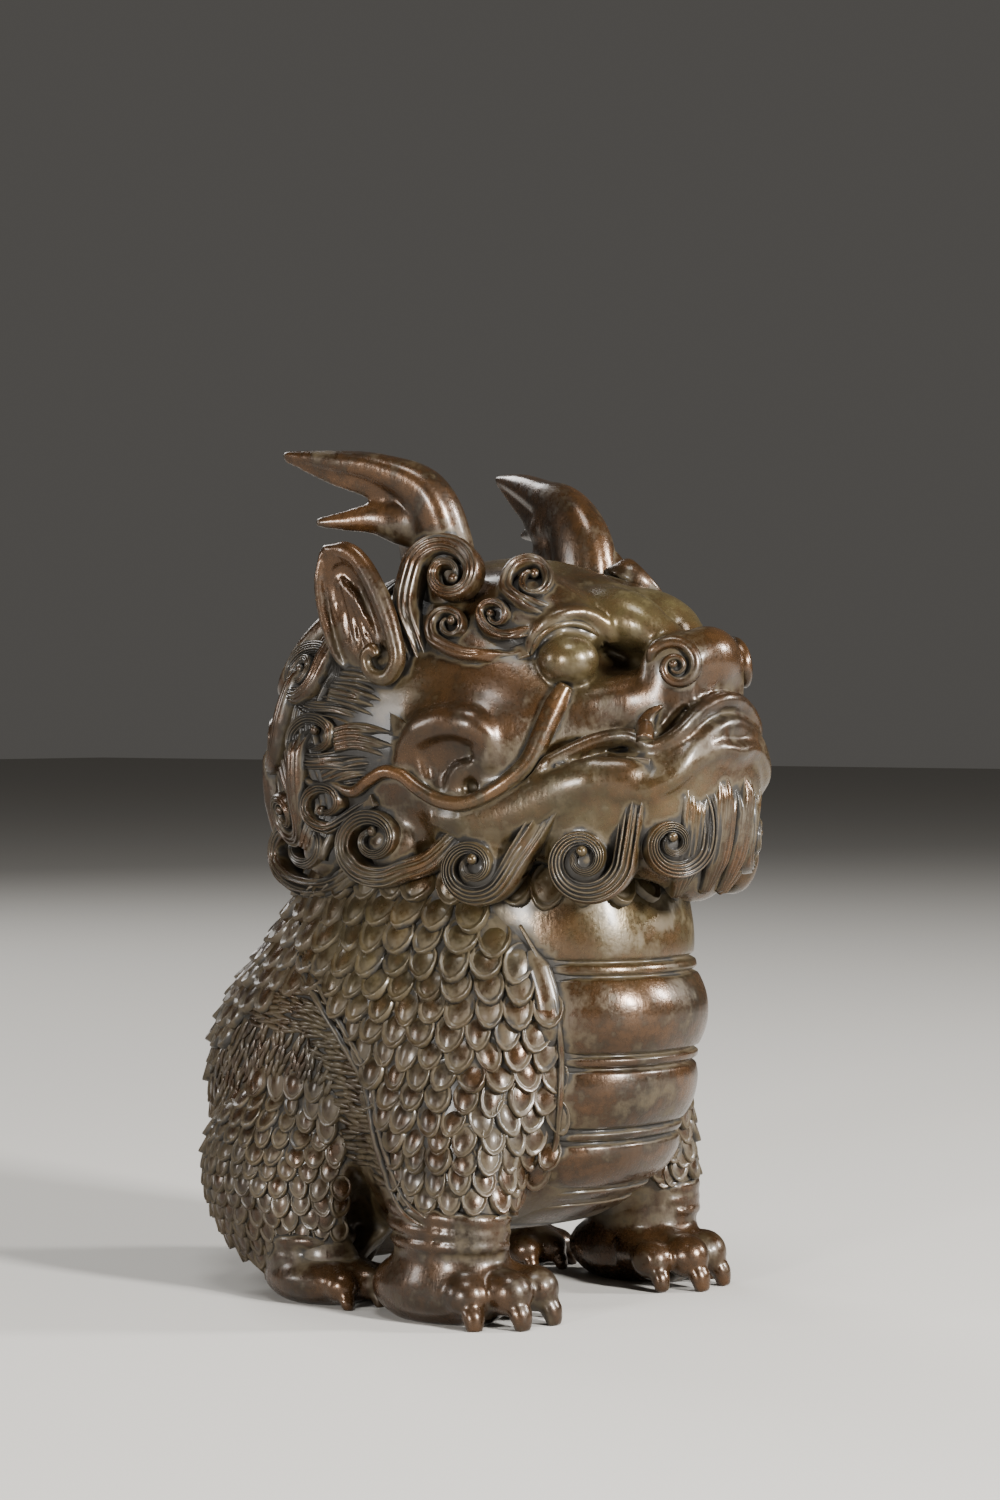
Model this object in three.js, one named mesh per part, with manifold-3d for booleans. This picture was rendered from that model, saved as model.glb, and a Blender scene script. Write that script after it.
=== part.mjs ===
// A small cast-bronze mythical beast, seated on its haunches with its snout raised: one solid casting.
// Millimetres, +Z up. The beast looks along -Y, its right side is -X, and it stands on z = 0.
import * as THREE from "three";
import { mergeVertices } from "three/addons/utils/BufferGeometryUtils.js";
import Module from "manifold-3d";

const wasm = await Module();
wasm.setup();

// Driving dimensions. Every form below is set out from these, at the size of the real figure.
const FORWARD = 0.35; // how far the outline is moved back, to stand with its middle on the frame's origin
const FLOOR = 0; // the level on which the feet and the tail stand
const BODY_HALF_WIDTH = 21.3;
const PLATE_HALF_WIDTH = 16; // half-width of the oval that carries the smooth belly plates
const PLATE_GROOVES = [39.2, 28.6, 20, 12.8]; // heights of the grooves between the plates
const GROOVE_DEPTH = 1.1;
const PLATE_PROUD = 0.7; // how far the plates stand out of the trunk
const EYE_RADIUS = 4.1;
const LOCK_HALF_WIDTH = 1.05; // half the width of one lock of hair where it coils
const LOCK_RISE = 1; // how far a coiled lock stands out from its middle line
const LOCK_ROOT = 2.6; // how far it goes down into the head
const LOCK_SIDES = 3; // a lock is a ridge with two sloping sides
const MERGE = 1e-4; // vertices closer than this are one vertex
const BRONZE = { color: 0x4a2c1c, roughness: 0.42, metalness: 0.9 };

const UP = new THREE.Vector3(0, 0, 1);
const BACKWARD = new THREE.Vector3(0, 1, 0);
const SIDEWAYS = new THREE.Vector3(1, 0, 0);
const vec = (x, y, z) => new THREE.Vector3(x, y, z);

// A solid from a closed geometry, with its faces turned outwards.
function closed(geometry) {
  const bare = new THREE.BufferGeometry();
  bare.setAttribute("position", geometry.getAttribute("position"));
  bare.setIndex(geometry.getIndex());
  const merged = mergeVertices(bare, MERGE);
  const vertProperties = merged.getAttribute("position").array;
  const triVerts = new Uint32Array(merged.getIndex().array);
  const build = () => new wasm.Manifold(new wasm.Mesh({ numProp: 3, vertProperties, triVerts }));
  const solid = build();
  if (solid.volume() >= 0) return solid;
  for (let i = 0; i < triVerts.length; i += 3) {
    [triVerts[i], triVerts[i + 1]] = [triVerts[i + 1], triVerts[i]];
  }
  return build();
}

// The same solid on the beast's other side.
function mirrored(solid) {
  const { vertProperties, triVerts } = solid.getMesh();
  const positions = vertProperties.map((value, i) => (i % 3 === 0 ? -value : value));
  const geometry = new THREE.BufferGeometry();
  geometry.setAttribute("position", new THREE.BufferAttribute(positions, 3));
  geometry.setIndex(new THREE.BufferAttribute(triVerts, 1));
  return closed(geometry);
}

const joined = (solids) => solids.reduce((whole, solid) => whole.add(solid));
const both = (solid) => [solid, mirrored(solid)];

// Skins a row of rings that have equally many points, and closes each end with a fan.
function skin(rings) {
  const count = rings[0].length;
  const points = rings.flat();
  const index = [];
  for (let r = 0; r < rings.length - 1; r++) {
    for (let i = 0; i < count; i++) {
      const a = r * count + i;
      const b = r * count + ((i + 1) % count);
      index.push(a, b, b + count, a, b + count, a + count);
    }
  }
  for (const [r, turned] of [[0, true], [rings.length - 1, false]]) {
    const middle = points.length;
    points.push(rings[r].reduce((sum, p) => sum.add(p), vec(0, 0, 0)).divideScalar(count));
    for (let i = 0; i < count; i++) {
      const a = r * count + i;
      const b = r * count + ((i + 1) % count);
      index.push(...(turned ? [b, a, middle] : [a, b, middle]));
    }
  }
  const geometry = new THREE.BufferGeometry().setFromPoints(points);
  geometry.setIndex(index);
  return closed(geometry);
}

// Points round an oval: `rise` above its centre and `drop` below; an exponent over 2 squares it off.
function oval(sides, half, rise, drop = rise, exponent = 2) {
  return Array.from({ length: sides }, (_, i) => {
    const first = sides === 3 ? 0.75 : 0.5;
    const turn = (2 * Math.PI * (i + first)) / sides;
    const power = 2 / exponent;
    const across = Math.sign(Math.cos(turn)) * Math.abs(Math.cos(turn)) ** power;
    const along = Math.sign(Math.sin(turn)) * Math.abs(Math.sin(turn)) ** power;
    return [half * across, (along < 0 ? drop : rise) * along];
  });
}

// An outline laid into space at `origin`.
function ring(origin, across, along, outline) {
  return outline.map(([u, v]) => origin.clone().addScaledVector(across, u).addScaledVector(along, v));
}

// Rows of numbers between the given rows, along smooth curves through them.
function smooth(rows, steps) {
  const row = (j) => rows[Math.max(0, Math.min(rows.length - 1, j))];
  return Array.from({ length: steps + 1 }, (_, k) => {
    const s = (k / steps) * (rows.length - 1);
    const i = Math.min(Math.floor(s), rows.length - 2);
    const t = s - i;
    return rows[i].map((value, c) => {
      const [before, next, after] = [row(i - 1)[c], row(i + 1)[c], row(i + 2)[c]];
      const bend = 2 * before - 5 * value + 4 * next - after;
      const twist = -before + 3 * value - 3 * next + after;
      return 0.5 * (2 * value + (next - before) * t + bend * t * t + twist * t * t * t);
    });
  });
}

// A ball stretched to half-sizes `half`, nodding by `pitch` and turning by `yaw`, in degrees.
function ball([x, y, z], half, [round, high] = [10, 7], pitch = 0, yaw = 0) {
  const geometry = new THREE.SphereGeometry(1, round, high);
  geometry.rotateX(Math.PI / 2);
  geometry.scale(...half);
  geometry.rotateX(THREE.MathUtils.degToRad(pitch));
  geometry.rotateZ(THREE.MathUtils.degToRad(yaw));
  geometry.translate(x, y, z);
  return closed(geometry);
}

// Sweeps an oval along `points`. `size(t)` is its half-width, its rise and its drop; `out` its upper side.
function sweep(points, size, out, sides = LOCK_SIDES) {
  const rings = points.map((point, i) => {
    const t = i / (points.length - 1);
    const ahead = points[Math.min(i + 1, points.length - 1)];
    const behind = points[Math.max(i - 1, 0)];
    const along = ahead.clone().sub(behind).normalize();
    const across = vec(0, 0, 0).crossVectors(along, out(t, point)).normalize();
    const outward = vec(0, 0, 0).crossVectors(across, along).normalize();
    return ring(point, across, outward, oval(sides, ...size(t)));
  });
  return skin(rings);
}

// A smooth line through `corners`, cut into `steps` lengths.
function line(corners, steps) {
  return new THREE.CatmullRomCurve3(corners.map((c) => vec(...c)), false, "centripetal").getPoints(steps);
}

// A rolled ridge along a line; it thins to `tip` of its size at its end, and to `root` at its start.
function ridge(corners, steps, halfWidth, halfThickness, { out, sides = LOCK_SIDES, root = 0.5, tip = 0.3 }) {
  const size = (t) => {
    const swell = Math.min(1, root + t * 6) * Math.min(1, tip + (1 - t) * 3);
    return [halfWidth * swell, halfThickness * swell];
  };
  const away = (t, p) => (typeof out === "function" ? out(p) : out);
  return sweep(line(corners, steps), size, away, sides);
}

// The direction straight out of the beast's long axis at a point.
const outOfBody = (p) => vec(p.x, p.y * 0.6, 0).normalize();

// A lock of hair that comes in along `lead` and coils up, clockwise as seen from outside the right side.
// Lead points are [across, up] in lengths of the coil's radius.
function curl({ at, facing, radius, lead = [], from = 20, turns = 1.3, segments = 7 }) {
  const centre = vec(...at);
  const outward = vec(...facing).normalize();
  const across = vec(0, 0, 0).crossVectors(UP, outward).normalize();
  const along = vec(0, 0, 0).crossVectors(outward, across);
  const place = (u, v, lift) =>
    centre.clone().addScaledVector(across, u * radius).addScaledVector(along, v * radius)
      .addScaledVector(outward, lift);
  const points = lead.map(([u, v, lift = -0.6]) => place(u, v, lift));
  const inner = 0.17;
  for (let i = 0; i <= segments; i++) {
    const share = i / segments;
    const turn = THREE.MathUtils.degToRad(from - 360 * turns * share);
    const reach = THREE.MathUtils.lerp(0.8, inner, share);
    points.push(place(reach * Math.cos(turn), reach * Math.sin(turn), share * 0.5));
  }
  const size = (t) => {
    const swell = Math.min(1, 0.6 + 3 * t) * Math.min(1, 0.75 + (1 - t));
    return [LOCK_HALF_WIDTH * (radius / 4) * swell, LOCK_RISE * swell, LOCK_ROOT];
  };
  return sweep(points, size, () => outward);
}

// Trunk: rows of height, middle (front to back), half-width and half-length.
function trunk() {
  const rows = [
    [7.5, 9, 9, 14],
    [9.5, 6.5, 15, 21],
    [14, 6, 18.6, 27.6],
    [20, 5.6, 20.6, 30.2],
    [27, 5, BODY_HALF_WIDTH, 31],
    [34, 2.8, 21, 29.7],
    [40, 0.8, 19.2, 26.8],
    [46, -0.8, 17.4, 24],
    [54, -1, 16.5, 21],
  ];
  const rings = smooth(rows, 8).map(([z, y, half, depth]) =>
    ring(vec(0, y, z), SIDEWAYS, BACKWARD, oval(16, half, depth, depth, 2.1)));
  return skin(rings);
}

// Front of the belly plates at a height.
function plateFront(z) {
  const rows = [
    [9, -13.5], [14, -21.4], [20, -24.8], [27, -27],
    [34, -28.2], [40, -27], [46, -25.4], [52, -24],
  ];
  const i = Math.max(0, rows.findIndex(([level]) => level >= z) - 1);
  const [[low, yLow], [high, yHigh]] = [rows[i], rows[i + 1]];
  return THREE.MathUtils.mapLinear(z, low, high, yLow, yHigh);
}

// Smooth belly plates, each a swelling band between two grooves.
function belly() {
  const bottom = 9.5;
  const top = 50;
  const edges = [bottom, ...[...PLATE_GROOVES].reverse(), top];
  const levels = edges.slice(0, -1).flatMap((low, i) => {
    const high = edges[i + 1];
    return [[low, -GROOVE_DEPTH], [low + 0.7, 0], [high - 0.7, 0]];
  });
  levels.push([top, 0]);
  const rings = levels.map(([z, proud]) => {
    const middle = 1;
    const depth = middle - plateFront(z) + PLATE_PROUD + proud;
    const half = PLATE_HALF_WIDTH + proud * 0.5 - Math.max(0, 18 - z) * 0.55;
    return ring(vec(0, middle, z), SIDEWAYS, BACKWARD, oval(10, half, 8, depth, 2.5));
  });
  return skin(rings);
}

// Foreleg: rows of height, sideways place, front-to-back place, half-width and half-length.
function foreleg() {
  const rows = [
    [3, -18.2, -10.8, 5.6, 6.8],
    [7, -18.2, -10.6, 6.1, 7.2],
    [10.5, -18, -10.4, 5.8, 7.3],
    [14, -17.5, -9.4, 6.1, 8.4],
    [20, -16.4, -7.6, 6.6, 10.2],
    [28, -14.4, -5.6, 7.6, 12.4],
    [37, -11.8, -4, 8.4, 13],
    [44, -9, -4, 8, 12],
  ];
  const rings = smooth(rows, 5).map(([z, x, y, half, depth]) =>
    ring(vec(x, y, z), SIDEWAYS, BACKWARD, oval(10, half, depth)));
  return skin(rings);
}

// Rolled ring of skin round the wrist.
function cuff() {
  const middle = [-17.9, -10.2];
  const half = [5.3, 6.9];
  const swell = [[10.2, 0], [11.4, 1.5], [12.6, 1.5], [13.8, 0]]; // height, and how far it stands out there
  return skin(swell.map(([z, proud]) =>
    ring(vec(...middle, z), SIDEWAYS, BACKWARD, oval(8, half[0] + proud, half[1] + proud))));
}

// A foot pad with a round knuckle for each toe, nodding down to its claw.
function foot(pad, toes) {
  const knuckles = toes.map(({ at, radius, turn }) =>
    ball(at, [radius * 0.85, radius * 1.3, radius], [5, 4], 24, turn));
  return joined([ball(pad.at, pad.half, [8, 5]), ...knuckles]);
}

function forePaw() {
  return foot({ at: [-18.2, -12.4, 3.4], half: [6.2, 8.4, 4.4] }, [
    { at: [-22.4, -15.6, 3.2], radius: 2.2, turn: -30 },
    { at: [-20.7, -18.8, 3.9], radius: 2.5, turn: -12 },
    { at: [-17.4, -20.2, 4.1], radius: 2.5, turn: 0 },
    { at: [-14.2, -19, 3.7], radius: 2.3, turn: 10 },
  ]);
}

function hindPaw() {
  return foot({ at: [-17.4, 8, 2.6], half: [5.6, 8.2, 3.4] }, [
    { at: [-20.4, 1.8, 2.2], radius: 1.9, turn: -16 },
    { at: [-17.4, 0.6, 2.5], radius: 2, turn: 0 },
    { at: [-14.4, 1.6, 2.3], radius: 1.9, turn: 12 },
  ]);
}

const haunch = () => ball([-13.6, 14.9, 14.4], [9.8, 13.6, 13], [11, 7], -4);

// Rump and the lower back between the haunches, down to just above the floor.
const rump = () => ball([0, 18, 13], [16, 15.4, 11], [9, 5]);

// Rows of front-to-back place, half-width, widest height, top and bottom, skinned from back to front.
function headLoft(rows, steps, sides, exponent) {
  const rings = smooth(rows, steps).map(([y, half, level, top, bottom]) =>
    ring(vec(0, y, level), SIDEWAYS, UP, oval(sides, half, top - level, level - bottom, exponent)));
  return skin(rings);
}

function cranium() {
  return headLoft([
    [22.6, 4, 60, 64, 56],
    [20.6, 10.8, 60.5, 71.5, 50],
    [18, 14.6, 61, 76.5, 48],
    [14, 17.4, 62, 80, 47],
    [7, 19.3, 62, 84, 46.5],
    [0, 20, 62, 85.7, 46.5],
    [-7, 20, 62, 85.4, 47],
    [-13, 19, 61, 82.6, 47.5],
    [-18, 17.2, 60, 78.4, 48.5],
    [-22.5, 13.6, 60, 74, 50],
    [-26, 9, 60, 70, 52],
  ], 7, 12, 2.3);
}

function jaw() {
  return headLoft([
    [-8, 18.8, 57, 61.5, 48.5],
    [-15, 18.4, 58, 61.5, 48],
    [-20, 17.1, 59, 62.2, 48],
    [-25, 15.7, 60, 64.2, 48.3],
    [-29, 13.9, 60, 65.2, 48.8],
    [-32.2, 11.3, 60.4, 65.4, 50],
    [-34.8, 7.8, 61, 66.8, 52.5],
    [-36.4, 4.2, 61.4, 66.6, 56],
  ], 5, 11, 2.4);
}

function snout() {
  return headLoft([
    [-13, 15.4, 69, 77, 60],
    [-18, 13.6, 68.5, 75, 60],
    [-23, 11.6, 68.5, 73.4, 60.5],
    [-28, 8.8, 69, 74.4, 61.5],
    [-32, 7.2, 69.8, 76.2, 63],
    [-34.6, 5, 70.6, 75.8, 65],
  ], 4, 10, 2.2);
}

// Brow, nose bridge with its double bulb, nostril wings and nose tip.
function face() {
  return [
    ...both(ball([-7.2, -14.2, 79], [6.4, 9.6, 5], [7, 5], 17, -6)),
    ball([0, -14.4, 79.8], [5, 13, 5], [6, 5], 17),
    ...both(ball([-2.9, -25.6, 78.2], [3, 3.9, 3], [6, 5], 15)),
    ...both(ball([-3.3, -30.3, 72.8], [3.3, 3.9, 4], [6, 4], 0, -32)),
    ball([0, -32.8, 74], [4.6, 3.4, 3.6], [6, 4]),
    ...both(ball([-10.2, -20.4, 74.7], [EYE_RADIUS, EYE_RADIUS, EYE_RADIUS], [7, 5])),
    ...both(ball([-16, -11, 65], [4.6, 7, 5.4], [6, 4], 0, 10)),
  ];
}

// Hollow under each brow, between the nose bridge and the snout.
const eyeHollow = () => ball([-12, -25.6, 77.6], [5, 4.4, 3.6], [6, 4], 0, 20);

function lipsAndWhiskers() {
  const acrossFront = (right) => [...right, ...right.slice(0, -1).reverse().map(([x, y, z]) => [-x, y, z])];
  const lip = acrossFront([
    [-17.9, -16.5, 58.6], [-16.9, -21, 61.1], [-16.2, -24.4, 63.2], [-14.1, -29.3, 64.9],
    [-11.2, -32.9, 63.9], [-7.3, -35.4, 66.6], [-3.4, -36.8, 68.6], [0, -37.2, 69],
  ]);
  const crease = acrossFront([
    [-13.6, -31.2, 56.6], [-11.2, -33.5, 60.6], [-7.6, -35.7, 63.2], [-2.9, -37.2, 64.3], [0, -37.4, 64.4],
  ]);
  const whisker = [
    [-11.8, -22.3, 71.2], [-14.4, -21.6, 66.8], [-17, -20.5, 62.8], [-18.8, -17.4, 58.5],
    [-19.8, -12.6, 57.5], [-20.5, -8.8, 58.8], [-21, -5.8, 60.8], [-21.2, -3, 61.2],
    [-21, 0.7, 58.9], [-20.6, 4.8, 59.5], [-19.6, 9.6, 59.9],
  ];
  const tusk = [[-10.4, -30.6, 63], [-10, -31.2, 67], [-8.8, -31, 69.4]];
  return [
    ridge(lip, 12, 1.3, 1.5, { out: outOfBody }),
    ridge(crease, 8, 1.7, 1.2, { out: outOfBody }),
    ...both(ridge(whisker, 9, 1.15, 1.6, { out: vec(-1, -0.2, 0) })),
    ...both(ridge(tusk, 3, 1.4, 1, { out: vec(-1, -0.8, 0) })),
  ];
}

// Horn: a blade that rises, sweeps back and ends in a point; the two were bent by hand and differ.
function horn(rows) {
  const blade = smooth(rows, 6).map(([x, y, z, half, depth], i, all) => {
    const ahead = all[Math.min(i + 1, all.length - 1)];
    const behind = all[Math.max(i - 1, 0)];
    const along = vec(ahead[0] - behind[0], ahead[1] - behind[1], ahead[2] - behind[2]).normalize();
    const wide = vec(0, 0, 0).crossVectors(along, SIDEWAYS).normalize();
    const flat = vec(0, 0, 0).crossVectors(wide, along).normalize();
    return ring(vec(x, y, z), flat, wide, oval(7, half, depth));
  });
  const tine = [[-12.4, -1.6, 88.4], [-15.4, 2, 89.8], [-17.6, 5.4, 89.6], [-19.4, 8.2, 89.4]];
  const tineSize = (t) => [THREE.MathUtils.lerp(3.2, 0.5, t), THREE.MathUtils.lerp(2, 0.5, t)];
  return skin(blade).add(sweep(line(tine, 3), tineSize, () => vec(-1, 0, 0.3), 4));
}

const rightHorn = () => horn([
  [-10.6, -3.6, 82, 3.4, 6.4],
  [-12, -3.4, 87, 3.1, 5.6],
  [-13.6, -1.8, 91.6, 2.8, 4.4],
  [-15.8, 2, 94.4, 2.2, 2.9],
  [-18, 7, 95.7, 1.6, 2],
  [-20, 12.6, 97.1, 0.5, 0.6],
]);

const leftHorn = () => mirrored(horn([
  [-12, -4.4, 81, 3.2, 6.8],
  [-12.8, -3.2, 86.5, 3.1, 6.6],
  [-14, -1, 90.2, 2.8, 5.2],
  [-15.4, 2.6, 92.4, 2.3, 3.6],
  [-17.6, 7.6, 94.6, 1.7, 2.3],
  [-19.7, 12.5, 96.3, 0.5, 0.6],
]));

// Ear: a leaf with a rolled rim that ends in a small hook, hollow between.
function ear() {
  const leafRows = [
    [-15.4, 1.6, 71, 2.8, 2.6],
    [-16.6, 1.4, 74, 4.6, 2.4],
    [-17.8, 1.8, 78, 4.9, 2],
    [-18.8, 3, 82, 3.8, 1.6],
    [-20.3, 5.6, 86.4, 0.8, 0.8],
  ];
  const rings = smooth(leafRows, 4).map(([x, y, z, depth, half]) =>
    ring(vec(x, y, z), BACKWARD, SIDEWAYS, oval(6, depth, half)));
  const rim = [
    [-20.6, 6, 86.4], [-20.3, 2, 85.6], [-20, -1.2, 81.6], [-19.8, -3.4, 76.6], [-19.7, -4, 73.4],
    [-19.7, -2.4, 71.6], [-20, -0.3, 72.3], [-20.2, 0.2, 74], [-20.3, -1, 75],
  ];
  const back = [
    [-20.6, 6.2, 86], [-20.2, 6.9, 82], [-19.4, 6.7, 77.6], [-18.2, 5.6, 73.6], [-17.2, 3.4, 71.6],
  ];
  return skin(rings)
    .subtract(ball([-20.4, 1.9, 78.2], [2.4, 2.9, 5.4], [4, 3], -20))
    .add(ridge(rim, 7, 1.15, 1.2, { out: vec(-1, 0, 0), tip: 0.6 }))
    .add(ridge(back, 4, 1, 1.1, { out: vec(-1, 0.4, 0) }));
}

// Coiled locks of the right side: the beard row under the jaw, the side mane, the back mane, the forehead.
function rightLocks() {
  const beardLead = [[0.6, 2.2, -1], [0.95, 1.1]];
  const sideLead = [[3.2, -1.1, 0], [1.5, -1.1, 0]];
  const short = { from: -90, turns: 1.15, segments: 5 };
  const beard = [
    { at: [-7.7, -32.6, 52.7], facing: [-0.5, -0.86, 0], radius: 3.8, lead: beardLead },
    { at: [-14.6, -25.9, 51.1], facing: [-0.9, -0.42, 0], radius: 4.5, lead: beardLead },
    { at: [-18.2, -14.6, 50.3], facing: [-0.98, -0.2, 0], radius: 4.5, lead: beardLead },
    { at: [-19.9, -2, 52.8], facing: [-1, 0, 0], radius: 4.7, lead: [[2.2, -0.6, -0.4]], from: -60 },
    { at: [-18.9, 10, 51.9], facing: [-0.9, 0.43, 0], radius: 4.5, lead: beardLead },
  ];
  const side = [
    { at: [-19.3, 6.8, 72.4], facing: [-0.96, 0.28, 0.1], radius: 2.7, lead: sideLead, ...short },
    { at: [-19.4, 8, 64.6], facing: [-0.96, 0.28, 0], radius: 3.1, lead: sideLead, ...short },
    { at: [-20.2, 4.8, 57], facing: [-0.98, 0.2, 0], radius: 2.5, ...short },
  ];
  const back = [
    { at: [-14.2, 18, 53.4], facing: [-0.6, 0.8, 0], radius: 5, lead: beardLead },
    { at: [-13.8, 18.6, 65.4], facing: [-0.6, 0.8, 0.15], radius: 5, lead: beardLead },
  ];
  const forehead = [
    { at: [-14.2, -5.4, 83.4], facing: [-0.86, -0.2, 0.45], radius: 4,
      lead: [[-1.2, -2.2, -0.4], [-1.05, -0.9, 0]], from: 150 },
    { at: [-16.3, -8.2, 77.4], facing: [-0.94, -0.2, 0.3], radius: 3.2,
      lead: [[3.2, -0.3, -1], [1.6, -0.9, -0.2]], ...short },
    { at: [-14.8, -12.8, 78.6], facing: [-0.92, -0.3, 0.25], radius: 2.5,
      lead: [[2.2, 0, -1]], ...short },
    { at: [-7.8, -13.4, 83], facing: [-0.6, -0.35, 0.72], radius: 2.8,
      lead: [[3, -0.9, -0.8]], ...short },
    { at: [-5.7, -32.5, 72.9], facing: [-0.79, -0.61, 0.05], radius: 3.4,
      lead: [[-0.2, 1]], from: 60 },
  ];
  return [...beard, ...side, ...back, ...forehead].map(curl);
}

// Locks down the middle of the nape, and the forked lock of the chin.
function middleLocks() {
  const nape = [
    [22.4, 57, 4.8, 0.1],
    [20.4, 69.6, 4.6, 0.4],
  ].map(([y, z, radius, tilt]) =>
    curl({ at: [0, y, z], facing: [0, 1, tilt], radius, lead: [[0.6, 1.9, -2], [0.95, 1.1]] }));
  const chin = [-3.6, 0, 3.6].map((x) =>
    ridge([[x, -35.2, 61], [x * 1.1, -34.8, 55.6], [x * 1.1, -33.8, 50.4], [x * 0.9, -31, 46.8]], 4, 2.1, 1.5,
      { out: vec(x * 0.1, -1, 0), tip: 0.4 }));
  return [...nape, ...chin];
}

// Tail: flame-like locks that stand up against the lower back.
function tail() {
  const middle = [[0, 30, 3], [0, 34.4, 8], [0, 35.4, 15], [0, 34.6, 22], [0, 32.6, 29]];
  const right = [[-3.6, 30.6, 4], [-6, 33.6, 10], [-6.6, 33.8, 16], [-4.6, 33.2, 22]];
  const out = vec(0, 1, 0);
  return [
    ball([0, 29.6, 4.2], [6.4, 5.4, 4.4], [7, 4]),
    ridge(middle, 6, 3.4, 2.6, { out, tip: 0.3 }),
    ...both(ridge(right, 4, 2.8, 2.2, { out, tip: 0.25 })),
  ];
}

// Long raised seam that parts the scaled shoulder from the furred flank.
function shoulderSeam() {
  const seam = [
    [-14.4, 15, 42.2], [-19.4, 7.6, 37.1], [-21.6, 1.9, 32.9],
    [-22.2, -1.4, 26.4], [-22.2, -3.6, 19.9], [-22.2, -4.8, 14.2],
  ];
  return both(ridge(seam, 5, 0.9, 0.9, { out: vec(-1, 0.1, 0) }));
}

// Everything above the floor plane, as one casting.
function beast() {
  const right = [
    foreleg(), cuff(), forePaw(), hindPaw(), haunch(), ear(), ...rightLocks(),
  ];
  const head = joined([cranium(), jaw(), snout(), ...face()])
    .subtract(eyeHollow())
    .subtract(mirrored(eyeHollow()));
  const whole = joined([
    trunk(), belly(), rump(), head, rightHorn(), leftHorn(), ...lipsAndWhiskers(),
    ...right, ...right.map(mirrored), ...middleLocks(), ...tail(), ...shoulderSeam(),
  ]);
  const belowFloor = new THREE.BoxGeometry(90, 120, 20).translate(0, 0, FLOOR - 10);
  return whole.subtract(closed(belowFloor));
}

function meshOf(name, solid, look) {
  const { vertProperties, triVerts } = solid.getMesh();
  const geometry = new THREE.BufferGeometry();
  geometry.setAttribute("position", new THREE.BufferAttribute(vertProperties, 3));
  geometry.setIndex(new THREE.BufferAttribute(triVerts, 1));
  geometry.computeVertexNormals();
  const mesh = new THREE.Mesh(geometry, new THREE.MeshStandardMaterial(look));
  mesh.name = name;
  return mesh;
}

const figure = new THREE.Group();
const casting = meshOf("beast_figure", beast(), BRONZE);
casting.position.y = FORWARD;
figure.add(casting);

export default figure;
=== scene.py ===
"""A small cast-bronze mythical beast, seated with its snout raised, on a pale studio floor.

Forms are modelled in mm in the figure's own frame: the beast looks along -Y, and its right side is -X.
"""
import math

import bpy
import numpy as np
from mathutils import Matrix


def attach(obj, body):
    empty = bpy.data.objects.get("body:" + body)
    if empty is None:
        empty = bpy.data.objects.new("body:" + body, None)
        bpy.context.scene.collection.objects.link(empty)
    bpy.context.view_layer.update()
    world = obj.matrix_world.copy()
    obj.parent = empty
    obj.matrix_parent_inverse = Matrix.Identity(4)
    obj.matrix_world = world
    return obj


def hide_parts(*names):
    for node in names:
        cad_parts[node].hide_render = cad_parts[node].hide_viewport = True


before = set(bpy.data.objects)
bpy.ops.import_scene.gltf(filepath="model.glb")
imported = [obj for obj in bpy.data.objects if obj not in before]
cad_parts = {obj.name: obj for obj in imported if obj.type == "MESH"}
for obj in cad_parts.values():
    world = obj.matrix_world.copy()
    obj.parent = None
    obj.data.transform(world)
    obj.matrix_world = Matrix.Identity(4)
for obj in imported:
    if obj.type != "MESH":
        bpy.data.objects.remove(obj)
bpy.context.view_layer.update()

import openvdb
from mathutils import Vector
from mathutils.bvhtree import BVHTree

MM = 0.001
SETBACK = 0.35  # mm from the figure's own frame to the shared one, along +Y
RANDOM = np.random.default_rng(11)
SIDEWAYS, BACKWARD, UPWARD = np.eye(3)

# The photograph's camera, in the figure's frame
LENS = 85.0
SENSOR = 36.0
IMAGE_WIDTH = 1000
IMAGE_HEIGHT = 1500
FOCUS = LENS / SENSOR * IMAGE_HEIGHT
HORIZON_RISE = 45  # pixels from the middle of the photograph up to the horizon
CAMERA_AT = np.array([-325.95, -257.95, 68.56])
CAMERA_TURN = math.radians(52)
CAMERA_NOD = math.atan(HORIZON_RISE / FOCUS)

# Grid spacing of the modelled forms, in mm
BODY_GRID = 0.62
HEAD_GRID = 0.36
PAW_GRID = 0.34
HORN_GRID = 0.3
EAR_GRID = 0.29
FAR = 12.0  # distance given to empty cells

# Whether a form is added to the clay or cut from it
ADD = 1
CUT = -1


# Curves and closed meshes

def unit(v):
    v = np.asarray(v, float)
    return v / np.maximum(np.linalg.norm(v, axis=-1, keepdims=True), 1e-9)


def steps(points):
    """Distance from each point of a row to the next."""
    return np.linalg.norm(np.diff(points, axis=0), axis=1)


def summed(lengths):
    return np.concatenate([[0], np.cumsum(lengths)])


def read_off(at, known_at, rows):
    """Rows known at some places, read off at others."""
    return np.stack([np.interp(at, known_at, column) for column in rows.T], 1)


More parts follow.
